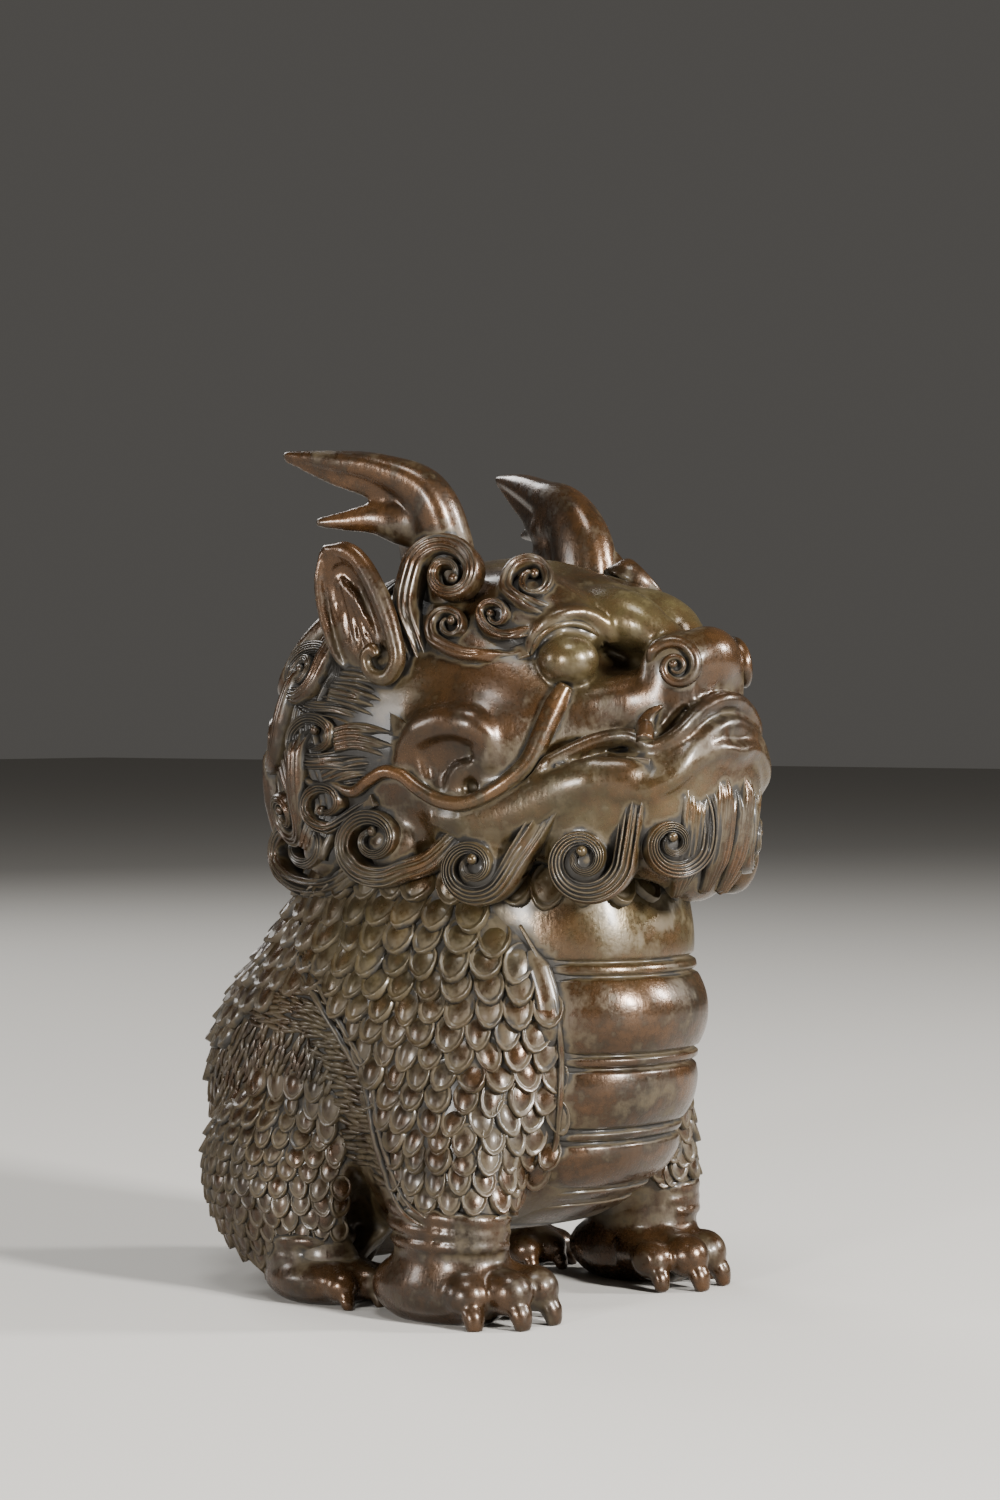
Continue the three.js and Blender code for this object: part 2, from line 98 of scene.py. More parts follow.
def spline(points, count):
    """Evenly spaced rows along a smooth curve; the first three columns set the spacing."""
    p = np.asarray(points, float)
    at = summed(np.maximum(steps(p[:, :3]), 1e-6) ** 0.5)
    slope = np.gradient(p, at, axis=0)
    fine = np.linspace(0, at[-1], 24 * len(p))
    i = np.clip(np.searchsorted(at, fine, side="right") - 1, 0, len(p) - 2)
    step = (at[i + 1] - at[i])[:, None]
    s = (fine - at[i])[:, None] / step
    curve = ((2 * s**3 - 3 * s**2 + 1) * p[i] + (s**3 - 2 * s**2 + s) * step * slope[i]
             + (3 * s**2 - 2 * s**3) * p[i + 1] + (s**3 - s**2) * step * slope[i + 1])
    length = summed(steps(curve[:, :3]))
    return read_off(np.linspace(0, length[-1], count), length, curve)


def oval(sides, half, rise, drop=None, exponent=2.0):
    """Outline of an oval with half-width, rise and drop given for each ring."""
    half, rise = np.atleast_1d(half), np.atleast_1d(rise)
    drop = rise if drop is None else np.atleast_1d(drop)
    turn = 2 * np.pi * (np.arange(sides) + 0.5) / sides
    c, s = (np.sign(wave) * np.abs(wave) ** (2 / exponent) for wave in (np.cos(turn), np.sin(turn)))
    high = np.where(s < 0, drop[:, None], rise[:, None]) * s
    return np.stack([half[:, None] * c + 0 * high, high], -1)


def ring_quads(rows, sides):
    """Faces between rings of equally many points."""
    k = np.arange(sides)
    n = np.roll(k, -1)
    r = np.arange(rows - 1)[:, None] * sides
    return np.stack([r + k, r + n, r + n + sides, r + k + sides], -1).reshape(-1, 4)


def skin(rings):
    """A closed mesh through rings: points, quads and triangles."""
    rows, sides = rings.shape[:2]
    points = np.concatenate([rings.reshape(-1, 3), rings[[0, -1]].mean(1)])
    k = np.arange(sides)
    n = np.roll(k, -1)
    top, hub = (rows - 1) * sides, rows * sides
    caps = [np.stack([n, k, 0 * k + hub], 1), np.stack([top + k, top + n, 0 * k + hub + 1], 1)]
    return facing_out(points, ring_quads(rows, sides), np.concatenate(caps))


def facing_out(points, quads, tris):
    """The mesh with its faces turned outwards, as the sign of its volume tells."""
    faces = np.concatenate([tris, quads[:, :3], quads[:, [0, 2, 3]]])
    a, b, c = points[faces.T]
    order = -1 if np.einsum("ij,ij->", a, np.cross(b, c)) < 0 else 1
    return points, quads[:, ::order], tris[:, ::order]


def mirror(mesh):
    points, quads, tris = mesh
    return points * [-1, 1, 1], quads[:, ::-1], tris[:, ::-1]


def merged(meshes):
    points, quads, tris = zip(*meshes)
    bases = summed([len(p) for p in points]).astype(int)
    return np.concatenate(points), *(
        np.concatenate([f + base for f, base in zip(faces, bases)]) for faces in (quads, tris))


def both(mesh):
    return merged([mesh, mirror(mesh)])


def rings_at(origins, across, along, outline):
    """Lays outlines into space, with one origin and one pair of directions for each ring."""
    across, along = (np.broadcast_to(way, origins.shape)[:, None] for way in (across, along))
    return origins[:, None] + outline[..., :1] * across + outline[..., 1:] * along


def loft(origins, across, along, *shape, **more):
    return skin(rings_at(origins, across, along, oval(*shape, **more)))


def ball(at, half, nod=0, turn=0, sides=36):
    """A ball stretched to half-sizes, nodding and turning by degrees."""
    down = np.linspace(0.02, np.pi - 0.02, sides // 2)[:, None]
    about = 2 * np.pi * np.arange(sides) / sides
    ring = np.sin(down)
    p = np.stack([ring * np.cos(about), ring * np.sin(about), np.cos(down) + 0 * about], -1) * half
    a, b = math.radians(nod), math.radians(turn)
    p = p @ np.array([[1, 0, 0], [0, math.cos(a), math.sin(a)], [0, -math.sin(a), math.cos(a)]])
    p = p @ np.array([[math.cos(b), math.sin(b), 0], [-math.sin(b), math.cos(b), 0], [0, 0, 1]])
    return skin(p + at)


def directions(path, out):
    """The ways across a line and straight off what it lies on."""
    along = unit(np.gradient(path, axis=0))
    across = unit(np.cross(along, np.broadcast_to(out, path.shape)))
    return across, np.cross(across, along)


def sweep(points, wide, high, out, count, sides=16):
    """An oval swept along a line, its height towards `out`; its half-sizes are numbers or profiles."""
    path = spline(points, count)
    share = np.linspace(0, 1, count)
    if np.ndim(out) == 2:
        out = read_off(share, np.linspace(0, 1, len(out)), out)
    sizes = [size(share) if callable(size) else 0 * share + size for size in (wide, high)]
    return loft(path, *directions(path, out), sides, *sizes)


def profile(*values, stops=None, size=1):
    """A size that runs straight from value to value, at even stops unless they are given."""
    stops = np.linspace(0, 1, len(values)) if stops is None else stops
    return lambda t: size * np.interp(t, stops, values)


def taper(size, root=1.0, tip=0.3, start=0.12, end=0.35):
    """A size that swells from `root` at the start and thins to `tip` at the end."""
    def at(t):
        grow = root + (1 - root) * np.clip(t / start, 0, 1)
        thin = tip + (1 - tip) * np.clip((1 - t) / end, 0, 1) ** 0.7
        return size * grow * thin
    return at


def faded(size, share=0.14, least=0.1):
    """A size that fades at both ends."""
    return lambda t: size * np.clip(np.minimum(t, 1 - t) / share, least, 1)


# Forms in the round, joined softly on a grid of distances

class Clay:
    def __init__(self, low, high, grid):
        self.low = np.array(low, float)
        self.grid = grid
        shape = np.ceil((np.array(high, float) - self.low) / grid).astype(int) + 1
        self.field = np.full(shape, FAR, np.float32)

    def distance(self, mesh, reach):
        """Distance to a closed mesh over the part of the grid it can change."""
        points, quads, tris = mesh
        cells = (points - self.low) / self.grid
        band = int(math.ceil(reach / self.grid)) + 3
        lo = np.clip(np.floor(cells.min(0)).astype(int) - band, 0, np.array(self.field.shape) - 1)
        hi = np.clip(np.ceil(cells.max(0)).astype(int) + band + 1, 1, np.array(self.field.shape))
        level = openvdb.FloatGrid.createLevelSetFromPolygons(
            cells.astype(np.float32), triangles=tris.astype(np.uint32), quads=quads.astype(np.uint32),
            transform=openvdb.createLinearTransform(1.0), halfWidth=float(band))
        near = np.zeros(hi - lo, np.float32)
        level.copyToArray(near, ijk=tuple(int(v) for v in lo))
        return tuple(slice(a, b) for a, b in zip(lo, hi)), near * self.grid

    def add(self, mesh, blend=0.0, sign=ADD):
        where, new = self.distance(mesh, blend)
        old = sign * self.field[where]
        joined = np.minimum(old, new)
        if blend:
            mix = np.clip(0.5 + 0.5 * (old - new) / blend, 0, 1)
            joined = old + (new - old) * mix - blend * mix * (1 - mix)
        self.field[where] = sign * joined

    def add_both(self, mesh, blend=0.0, sign=ADD):
        self.add(mesh, blend, sign)
        self.add(mirror(mesh), blend, sign)

    def balls(self, rows, sign=ADD):
        """Adds balls by centre, half-sizes, nod, turn and blend, with a twin for each beside the middle."""
        for at, half, nod, turn, blend in rows:
            join = self.add_both if at[0] else self.add
            join(ball(at, half, nod, turn), blend, sign)

    def cut_below(self, level):
        z = self.low[2] + self.grid * np.arange(self.field.shape[2])
        self.field = np.maximum(self.field, (level - z).astype(np.float32))

    def surface(self, soften=2):
        level = openvdb.FloatGrid(FAR)
        level.copyFromArray(self.field)
        points, tris, quads = level.convertToPolygons(0.0, 0.0)
        points = points.astype(float)
        quads, tris = quads.astype(int), tris.astype(int)
        for _ in range(soften):
            points = relaxed(points, quads, tris)
        return facing_out(points * self.grid + self.low, quads, tris)


def relaxed(points, quads, tris):
    """Each point moved half-way to the mean of its neighbours, which takes the grid's steps off."""
    edges = np.concatenate([faces[:, [k, (k + 1) % faces.shape[1]]]
                            for faces in (quads, tris) for k in range(faces.shape[1])])
    total = np.zeros_like(points)
    count = np.zeros(len(points))
    for a, b in (edges.T, edges.T[::-1]):
        for axis in range(3):
            total[:, axis] += np.bincount(a, points[b, axis], len(points))
        count += np.bincount(a, minlength=len(points))
    return points + (total / np.maximum(count, 1)[:, None] - points) / 2


# The camera of the photograph, to place what it shows

LOOK = np.array([math.sin(CAMERA_TURN) * math.cos(CAMERA_NOD), math.cos(CAMERA_TURN) * math.cos(CAMERA_NOD),
                 -math.sin(CAMERA_NOD)])
RIGHT = np.array([math.cos(CAMERA_TURN), -math.sin(CAMERA_TURN), 0.0])
ABOVE = np.cross(RIGHT, LOOK)


def sight(u, v):
    """Direction from the camera through a pixel of the photograph."""
    return LOOK + RIGHT * (u - IMAGE_WIDTH / 2) / FOCUS - ABOVE * (v - IMAGE_HEIGHT / 2) / FOCUS


def seen_at(points):
    """Pixels at which points are seen."""
    rel = points - CAMERA_AT
    depth = rel @ LOOK
    return np.stack([IMAGE_WIDTH / 2 + FOCUS * (rel @ RIGHT) / depth,
                     IMAGE_HEIGHT / 2 - FOCUS * (rel @ ABOVE) / depth], 1)


# Lines of the photograph laid on a finished surface

class Skin:
    """A finished surface that details are laid on."""

    def __init__(self, mesh):
        points, quads, tris = mesh
        self.tree = BVHTree.FromPolygons(points.tolist(), quads.tolist() + tris.tolist())

    def hits(self, starts, ways, reach=1000.0):
        """Where lines first meet the surface and its directions there, with nan for a miss."""
        starts = np.broadcast_to(starts, ways.shape)
        found = [self.tree.ray_cast(Vector(start), Vector(way), reach) for start, way in zip(starts, ways)]
        return [np.array([[np.nan] * 3 if row[k] is None else row[k] for row in found]) for k in (0, 1)]

    def hit(self, start, way):
        return [found[0] for found in self.hits(start, way[None])]


def blurred(values, width):
    """Values smoothed along their row."""
    core = np.exp(-0.5 * (np.arange(-3 * width, 3 * width + 1) / width) ** 2)
    core /= core.sum()
    longer = np.pad(values.reshape(len(values), -1), [(3 * width,) * 2, (0, 0)], mode="edge")
    return np.stack([np.convolve(column, core, mode="valid") for column in longer.T], 1).reshape(values.shape)


def filled(values):
    """Gaps in a row of values closed from both sides."""
    flat = values.reshape(len(values), -1)
    known = ~np.isnan(flat[:, 0])
    at = np.arange(len(flat))
    return read_off(at, at[known], flat[known]).reshape(values.shape)


def traced(pixels, surface, count, lift=0.0, steady=4):
    """A line of the photograph on a surface: its points and the surface's directions there."""
    way = unit([sight(u, v) for u, v in spline(pixels, count)])
    place, out = surface.hits(CAMERA_AT, way)
    reach = blurred(filled(np.linalg.norm(place - CAMERA_AT, axis=1)), steady)
    out = unit(blurred(filled(out), steady))
    return CAMERA_AT + way * reach[:, None] + out * lift, out


def bead(pixels, surface, points, lift, wide, high, count=None, sides=16, steady=4, aside=0.0):
    """An oval swept along a line of the photograph, or at a distance beside it."""
    path, out = traced(pixels, surface, points, lift, steady)
    path = path + directions(path, out)[0] * aside
    return sweep(path, wide, high, out, count or points, sides)


# Body

# Height, place and half-sizes of level ovals
TRUNK = [[7.5, 9, 9, 14], [9.5, 6.5, 15, 21], [14, 6, 18.6, 27.6], [20, 5.6, 20.4, 30.2], [27, 5, 21.1, 31],
         [34, 2.8, 20.8, 29.7], [40, 0.8, 19, 26.8], [46, -0.8, 17.2, 24], [56, -1, 16.3, 21]]
FORELEG = [[7, -18.2, -10.6, 5.4, 6.6], [10.5, -18, -10.4, 5.5, 7], [14, -17.5, -9.4, 5.9, 8.2],
           [20, -16.4, -7.6, 6.5, 10.1], [28, -14.4, -5.6, 7.4, 12.3], [37, -11.8, -4, 8.2, 13],
           [44, -9, -4, 7.8, 12]]
# Centre, half-sizes, nod, turn and blend: rump; haunch, hock and the root of the tail
RUMP = [((0, 18, 13), (15.8, 15.2, 10.8), 0, 0, 3)]
HIND_FORMS = [((-13.6, 14.9, 14.4), (9.6, 13.4, 12.8), -4, 0, 0.8),
              ((-17, 10.5, 5.2), (4.6, 6.6, 4.2), 0, 0, 1.5), ((0, 29.2, 4.4), (6, 5, 4.2), 0, 0, 1.5)]
HAUNCH_AT, HAUNCH_HALF = HIND_FORMS[0][:2]
FLANK_GAP = [(352, 1166), (358, 1190), (365, 1218), (376, 1246)]


def upright(rows, count, sides, exponent=2.0):
    """A loft of level ovals, on the middle where no place across is given."""
    z, *place, half, depth = spline(rows, count).T
    x, y = place if len(place) == 2 else (0 * z, *place)
    return loft(np.stack([x, y, z], 1), SIDEWAYS, BACKWARD, sides, half, depth, exponent=exponent)


def body_clay():
    clay = Clay((-25, -30, -1), (25, 37, 52), BODY_GRID)
    clay.add(upright(TRUNK, 60, 72, 2.1))
    clay.balls(RUMP)
    clay.add_both(upright(FORELEG, 40, 40), 3)
    clay.balls(HIND_FORMS)
    gap = bead(FLANK_GAP, Skin(clay.surface()), 30, 0, profile(0.7, 2, 2.6), profile(1, 4.5, 5), 40)
    clay.add_both(gap, 0.8, CUT)
    clay.cut_below(0)
    return clay


# Pads by centre and half-sizes; toes by centre, radius and turn
FORE_PAD = ((-18.5, -9.8, 3.5), (5.7, 9.4, 4.6))
FORE_TOES = [((-21.7, -15.6, 3.5), 2.6, -30), ((-18.9, -19.2, 3.9), 2.75, -12),
             ((-14.6, -19.6, 3.9), 2.75, 6), ((-11.4, -17.0, 3.5), 2.4, 22)]
HIND_PAD = ((-17.4, 9.0, 2.6), (5.4, 7.6, 3.3))
HIND_TOES = [((-20.6, 3.6, 2.5), 1.9, -18), ((-17.2, 2.3, 2.6), 1.95, 0), ((-13.8, 3.6, 2.5), 1.9, 18)]
SHIN = np.array([[-18.2, -10.8, 2.0], [-18.2, -10.7, 7], [-18, -10.4, 11], [-17.8, -10, 13.4]])
SHIN_HALF = [5.4, 5.5, 5.5, 5.4], [6.6, 6.8, 7.1, 7.2]
# Centre, half-sizes, tilt, thickness and, where it isn't the usual, the arc in degrees
WRIST_RINGS = [((-18, -10.3, 12.3), (5.5, 7.1), 0.8, 1.05), ((-18.1, -10.4, 10.5), (5.6, 7.1), 0.5, 0.8),
               ((-18.1, -10.6, 8.9), (5.6, 7.1), 0.2, 0.65, 110, 290)]
ANKLE = [((-17.2, 11.4, 5), (4.9, 5.4, 3.4), 0.8), ((-17.3, 11, 7.2), (5, 5.6, 2), 0.5)]
RING_POINTS = 84
CLAW = [(0.35, 0.3), (0.78, 0.8), (0.95, 1.45)]  # how far ahead and how low, in radii of the toe


def paw(pad, toes, ankle):
    """A foot: pad, knuckles and rounded toes, each with a blunt claw bent to the ground."""
    x, y, _ = pad[0]
    clay = Clay((x - 9, y - 14, -1), (x + 9, y + 12, 14.5), PAW_GRID)
    clay.add(ball(*pad))
    for part, blend in ankle:
        clay.add(part, blend)
    for at, size, turn in toes:
        at, a = np.array(at), math.radians(turn)
        ahead = np.array([math.sin(a), -math.cos(a), 0]) * size
        drop = np.array([0, 0, size])
        toe = [at - ahead * 2.2 + drop * 0.15, at - ahead + drop * 0.2, at]
        claw = [at + ahead * far - drop * low for far, low in CLAW]
        clay.add(sweep(toe, size * 0.8, size * 0.75, UPWARD, 16), 1.2)
        clay.add(ball(at, (size * 0.92, size * 1.05, size * 0.95), 8, -turn), 0.35)
        clay.add(sweep(claw, profile(0.5, 0.52, 0.34, size=size), profile(0.45, 0.44, 0.27, size=size),
                       UPWARD, 14), 0.08)
    clay.cut_below(0)
    return clay.surface()


def wrist_ring(at, half, tilt, thick, start=60, end=300):
    """A fold of skin round the wrist."""
    turn = np.radians(np.linspace(start, end, 28))
    c, s = np.cos(turn), np.sin(turn)
    ring = np.stack([at[0] + half[0] * c, at[1] + half[1] * s, at[2] + tilt * s], 1)
    out = spline(unit(np.stack([c / half[0], s / half[1], 0 * turn], 1)), RING_POINTS)
    return sweep(ring, taper(thick, 0.35, 0.35, 0.2, 0.2), taper(thick * 0.85, 0.4, 0.4), out, RING_POINTS)


def paws():
    shin = loft(SHIN, SIDEWAYS, BACKWARD, 40, *SHIN_HALF)
    fore = paw(FORE_PAD, FORE_TOES, [(shin, 1.6)] + [(wrist_ring(*ring), 0.35) for ring in WRIST_RINGS])
    hind = paw(HIND_PAD, HIND_TOES, [(ball(at, half), blend) for at, half, blend in ANKLE])
    return merged([fore, hind])


# Smooth belly plates

# Height and how far forward the belly reaches there; heights of the grooves between the plates
PLATE_FRONT = [[8, -10.5], [9.4, -13.5], [14, -21.4], [20, -24.8], [27, -27], [34, -28.2], [40, -27],
               [46, -25.4], [54, -23.6]]
GROOVES = [12.3, 14.0, 19.6, 21.0, 28.0, 29.5, 38.3, 39.9]
PLATE_ENDS = 8.2, 52  # heights at which the lowest plate would start and the highest would end
BELLY_HEIGHTS = 9.3, 51
BELLY_STEP = 0.2
BELLY_HALF = 16
BELLY_NARROWS = 18  # height below which the belly gets narrower
PLATE_LEAST = 3  # what lies between two grooves is a plate if it is higher than this, or else a narrow band
PLATE_SWELL = 0.9
BAND_SWELL = 0.22
GROOVE_DEPTH = 0.75
GROOVE_WIDTH = 0.22


def belly():
    """Plates that swell between grooves, with narrow bands between them."""
    z = np.arange(*BELLY_HEIGHTS, BELLY_STEP)
    edges = [PLATE_ENDS[0], *GROOVES, PLATE_ENDS[1]]
    line = spline(PLATE_FRONT, 80)
    front = 1 - np.interp(z, line[:, 0], line[:, 1]) + 0.35
    swell = np.zeros(len(z))
    for low, high in zip(edges, edges[1:]):
        share = np.clip((z - low) / (high - low), 0, 1)
        height = PLATE_SWELL if high - low > PLATE_LEAST else BAND_SWELL
        swell += height * (1 - np.abs(2 * share - 1) ** 2.4)
    for level in GROOVES:
        swell -= GROOVE_DEPTH * np.exp(-((z - level) / GROOVE_WIDTH) ** 2)
    half = BELLY_HALF - np.clip(BELLY_NARROWS - z, 0, None) * 0.55 + swell * 0.5
    at = np.stack([0 * z, 0 * z + 1, z], 1)
    return loft(at, SIDEWAYS, BACKWARD, 128, half, 8.0, front + swell, 2.5)


# Head

# Place along the head, half-width, and the heights of the middle, the top and the bottom
CRANIUM = [[22.6, 4, 60, 64, 56], [20.6, 10.8, 60.5, 71.5, 50], [18, 14.6, 61, 76.5, 48],
           [14, 17.2, 62, 80, 47.5], [7, 19.1, 62, 83.6, 47], [0, 19.7, 62, 85.2, 47],
           [-7, 19.6, 62, 84.8, 47.4], [-13, 18.6, 61, 82, 48], [-18, 16.8, 60, 78, 49],
           [-22.5, 13.4, 60, 73.5, 50.5], [-26, 9, 60, 69.5, 52.5]]
JAW = [[-8, 18.4, 57, 61.5, 49], [-15, 18, 58, 61.2, 48.6], [-20, 16.6, 59, 62, 48.6],
       [-25, 15.2, 60, 63.6, 48.9], [-29, 13.3, 60, 64.4, 49.4], [-32.2, 10.6, 60.4, 64.6, 50.6],
       [-34.8, 7.2, 61, 65.8, 53], [-36.2, 3.8, 61.4, 65.6, 56.5]]
SNOUT = [[-13, 15.2, 69, 77, 60], [-18, 13.3, 68.5, 74.6, 60], [-23, 11.2, 68.5, 72.6, 60.5],
         [-28, 8.6, 69, 73.6, 61.5], [-32, 7, 69.8, 75.6, 63], [-34.4, 4.8, 70.6, 75.2, 65]]
# Centre, half-sizes, nod, turn and blend: lip, chin, forehead, bridge, nose and nostrils
FACE_FORMS = [((0, -31.6, 62.4), (9.6, 5, 7.2), 0, 0, 1.5), ((0, -30.9, 53.5), (7, 4, 7), 0, 0, 2),
              ((-7.2, -14.2, 78.6), (6.2, 9.4, 4.8), 17, -6, 1.6),
              ((0, -14.4, 79.4), (5, 13, 4.8), 17, 0, 2), ((-3, -23.6, 78.3), (3.5, 6.2, 3.2), 20, 0, 1),
              ((-2.4, -28.2, 76), (2.3, 2.2, 2.5), 0, 0, 0.5),
              ((-3.1, -30.2, 72.6), (3.3, 4, 3.9), 0, -32, 1),
              ((-4.9, -31.2, 72.6), (2, 3.6, 3.7), 0, 38, 0.8),
              ((0, -32.6, 73.8), (4.6, 3.3, 3.6), 0, 0, 1.5)]
EYE_HOLLOWS = [((-12, -25.8, 77.4), (5, 4.4, 3.8), 0, 20, 0.8),
               ((-7.6, -25.6, 74.4), (1.9, 3.2, 1.5), 0, 20, 0.8)]
CHEEK_AND_EYE = [((-15.6, -11, 65), (4.6, 7, 5.2), 0, 10, 2.2),
                 ((-10.5, -21.1, 73.5), (3.3, 3.6, 3), 0, 0, 0.3)]


def head_base():
    """The head in the round, with a bed under each lock of the beard."""
    clay = Clay((-25, -41, 42), (25, 26, 92), HEAD_GRID)
    for rows, sides, exponent, blend in ((CRANIUM, 72, 2.3, 0), (JAW, 64, 2.4, 2), (SNOUT, 60, 2.2, 1.6)):
        y, half, level, top, bottom = spline(rows, 70).T
        at = np.stack([0 * y, y, level], 1)
        clay.add(loft(at, SIDEWAYS, UPWARD, sides, half, top - level, level - bottom, exponent), blend)
    clay.balls(FACE_FORMS)
    clay.balls(EYE_HOLLOWS, CUT)
    clay.balls(CHEEK_AND_EYE)
    clay.balls([(np.array(at) - unit(facing) * 2.9, (3.6, 3.6, 3.4), 0, 0, 2) for *_, at, facing, _ in BEARD])
    return clay


# Lines of the photograph, as pixels
LIP = [(530, 784), (536, 778), (548, 769), (565, 759), (596, 744), (631, 739), (655, 750), (676, 739),
       (697, 714), (718, 703), (743, 710), (764, 734), (771, 756)]
RIDGES = [
    [(618, 797), (645, 789), (672, 773), (690, 751), (711, 732), (726, 725), (747, 729), (762, 748),
     (767, 760)],
    [(640, 800), (661, 789), (678, 777), (691, 765), (710, 752), (730, 750), (749, 763), (758, 775)]]
JAW_FOLD = [(432, 820), (458, 826), (484, 826), (512, 815), (540, 798), (572, 781), (604, 774), (634, 782),
            (656, 800)]
MOUTH_GAPS = [[(532, 769), (550, 755), (565, 747), (584, 740)], [(652, 739), (668, 727), (690, 706)]]
CHEEK_ARCH = [(398, 768), (403, 748), (416, 731), (436, 722), (458, 720), (478, 728), (489, 744), (488, 764)]
CHEEK_PIT = [(424, 768), (446, 762), (470, 764)]
CHEEK_LEAF = [(446, 796), (455, 780), (472, 764)]
CHEEK_HOLES = [(438, 783), (472, 787)]
BROW_FOLD = [(528, 652), (537, 632), (556, 617), (582, 613), (604, 623), (614, 642)]


def front_line(pixels, surface, count):
    """A line of the photograph that runs on round the front of the snout to the other side."""
    rows = traced(pixels, surface, count, steady=9)
    near = rows[0][:, 0] < -0.5
    return [np.concatenate([row[near], row[near][::-1] * [-1, 1, 1]]) for row in rows]


def head_clay():
    """The head with the folds and grooves of mouth, cheek and brow."""
    clay = head_base()
    base = Skin(clay.surface())

    def fold(pixels, *shape, blend, sign=ADD, sides=16):
        clay.add_both(bead(pixels, base, *shape, sides), blend, sign)

    for pixels in MOUTH_GAPS:
        fold(pixels, 30, 0, taper(0.75, 0.3, 0.3), 1.8, 40, blend=0.3, sign=CUT)
    fold(JAW_FOLD, 60, -0.2, faded(1.9), faded(1.0), 80, blend=1.6)
    fold(CHEEK_PIT, 20, 0.3, taper(2.9, 0.7, 0.7, 0.3, 0.3), 1.5, 20, blend=1.4, sign=CUT, sides=30)
    fold(CHEEK_ARCH, 40, -0.1, faded(1.5, 0.3, 0.3), faded(1.25, 0.3, 0.3), 60, blend=1.3, sides=24)
    fold(CHEEK_LEAF, 30, -0.9, taper(1.5, 0.7, 0.25), 0.9, 40, blend=0.3)
    holes, _ = traced(CHEEK_HOLES, base, 2, steady=1)
    clay.balls([(hole, (0.8, 0.8, 0.8), 0, 0, 0.4) for hole in holes], CUT)
    path, out = front_line(LIP, base, 90)
    clay.add(sweep(path + out * 0.6, faded(1.05, 0.05, 0.4), faded(1.5, 0.05, 0.4), out, 180), 0.3)
    for pixels, size in zip(RIDGES, (0.95, 0.75)):
        path, out = front_line(pixels, base, 80)
        clay.add(sweep(path + out * 0.2, faded(size), faded(size), out, 160), 1.0)
    fold(BROW_FOLD, 40, -0.1, taper(0.8, 0.4, 0.4), 0.9, 50, blend=0.8)
    return clay


# Locks of hair, laid on what carries them

QUARTER = 0.79  # a coil's radius shrinks to this share each quarter turn
NARROWING = 0.36  # a coil's half-width as a share of the way left to its centre
STRAND_POINTS = 5
WANDER = 0.1  # how far strands stray from side to side
GROOVE_POWER = 0.6  # strands are the rounder the higher it is
CROWN = 0.88  # how far the lock's back is rounded off at its sides
UNDERSIDE = 0.9  # width of a lock's underside, as a share of its own
CURL_POINTS = 130
SLIM_START = 0.16  # share of a lock over which a slim start widens
NEARBY = 2.5  # mm beyond its own depth at which a lock takes no notice of the surface
REACH = 4.0  # mm to either side within which a lock out of sight finds the surface


def eased(depth):
    return blurred(filled(depth), max(1, len(depth) // 16))


def laid_by_sight(pixels, at, facing, surface, sink, rise):
    """Pixels of the photograph carried to a plane, and from there to the surface where it is near."""
    way = np.array([sight(u, v) for u, v in pixels])
    off = (surface.hits(CAMERA_AT, unit(way))[0] - at) @ facing
    clear = (off <= sink - NEARBY) | (off >= rise + NEARBY)
    depth = eased(np.where(clear, np.nan, np.clip(off, sink, rise)))
    reach = ((at - CAMERA_AT) @ facing + depth) / (way @ facing)
    return CAMERA_AT + way * reach[:, None]


def laid_on(points, facing, surface, lift):
    """Points carried along `facing` on to the surface where it is near."""
    ways = np.broadcast_to(-facing, points.shape)
    depth = eased((surface.hits(points + facing * REACH, ways, 2 * REACH)[0] - points) @ facing)
    return points + facing * (depth + lift)[:, None]


def coil(centre, start, turns, squeeze=1.0):
    """A spiral about `centre` from `start`, clockwise on a page whose second axis points down."""
    offset = (np.array(start) - centre) / [squeeze, 1]
    share = np.linspace(0, 1, 30)
    reach = np.linalg.norm(offset) * QUARTER ** (4 * turns * share)
    turn = math.atan2(offset[1], offset[0]) + 2 * np.pi * turns * share
    return np.stack([centre[0] + squeeze * reach * np.cos(turn), centre[1] + reach * np.sin(turn)], 1)


def lock(path, out, wide, strands, thick=0.9, groove=0.5, root=1.4, seed=0, fade_in=0.12, sunk=1.3):
    """Strands side by side along a path; `wide` gives the half-width at each point of the path."""
    share = np.linspace(0, 1, len(path))[:, None]
    across, out = directions(path, out)
    u = np.linspace(-1, 1, strands * STRAND_POINTS + 1)
    wobble = np.random.default_rng(seed + 101).uniform(-1, 1, (4, strands + 1))
    edges, halves = np.linspace(-1, 1, strands + 1), np.linspace(-1, 1, 2 * strands + 1)
    shift = sum(np.sin((k + 1.3) * np.pi * share + k) * np.interp(u, edges, wobble[k]) for k in range(4))
    hollow = 1 - np.abs(np.sin(np.pi * strands * ((u + 1) / 2 + shift * WANDER / 8))) ** GROOVE_POWER
    crown = np.sqrt(1 - (CROWN * u) ** 2)
    full = wide[:, None] / wide.max()
    swell = (0.45 + 0.55 * full) * np.clip((1 - share) / 0.03, 0.3, 1)
    first = np.interp(u, halves, np.abs(wobble[:2]).ravel()[:len(halves)]) * 0.5 * fade_in
    grown = np.clip((share - first) / fade_in, 0, 1)
    grown = grown * grown * (3 - 2 * grown)
    top = (thick * crown - groove * hollow) * swell * grown - sunk * (1 - grown)
    deep = -root * np.clip(full, 0.6, 1) - sunk * (1 - grown[:, :1])
    outline = np.stack([wide[:, None] * [*u, UNDERSIDE, -UNDERSIDE], np.hstack([top, deep, deep])], -1)
    return skin(rings_at(path, across, out, outline))


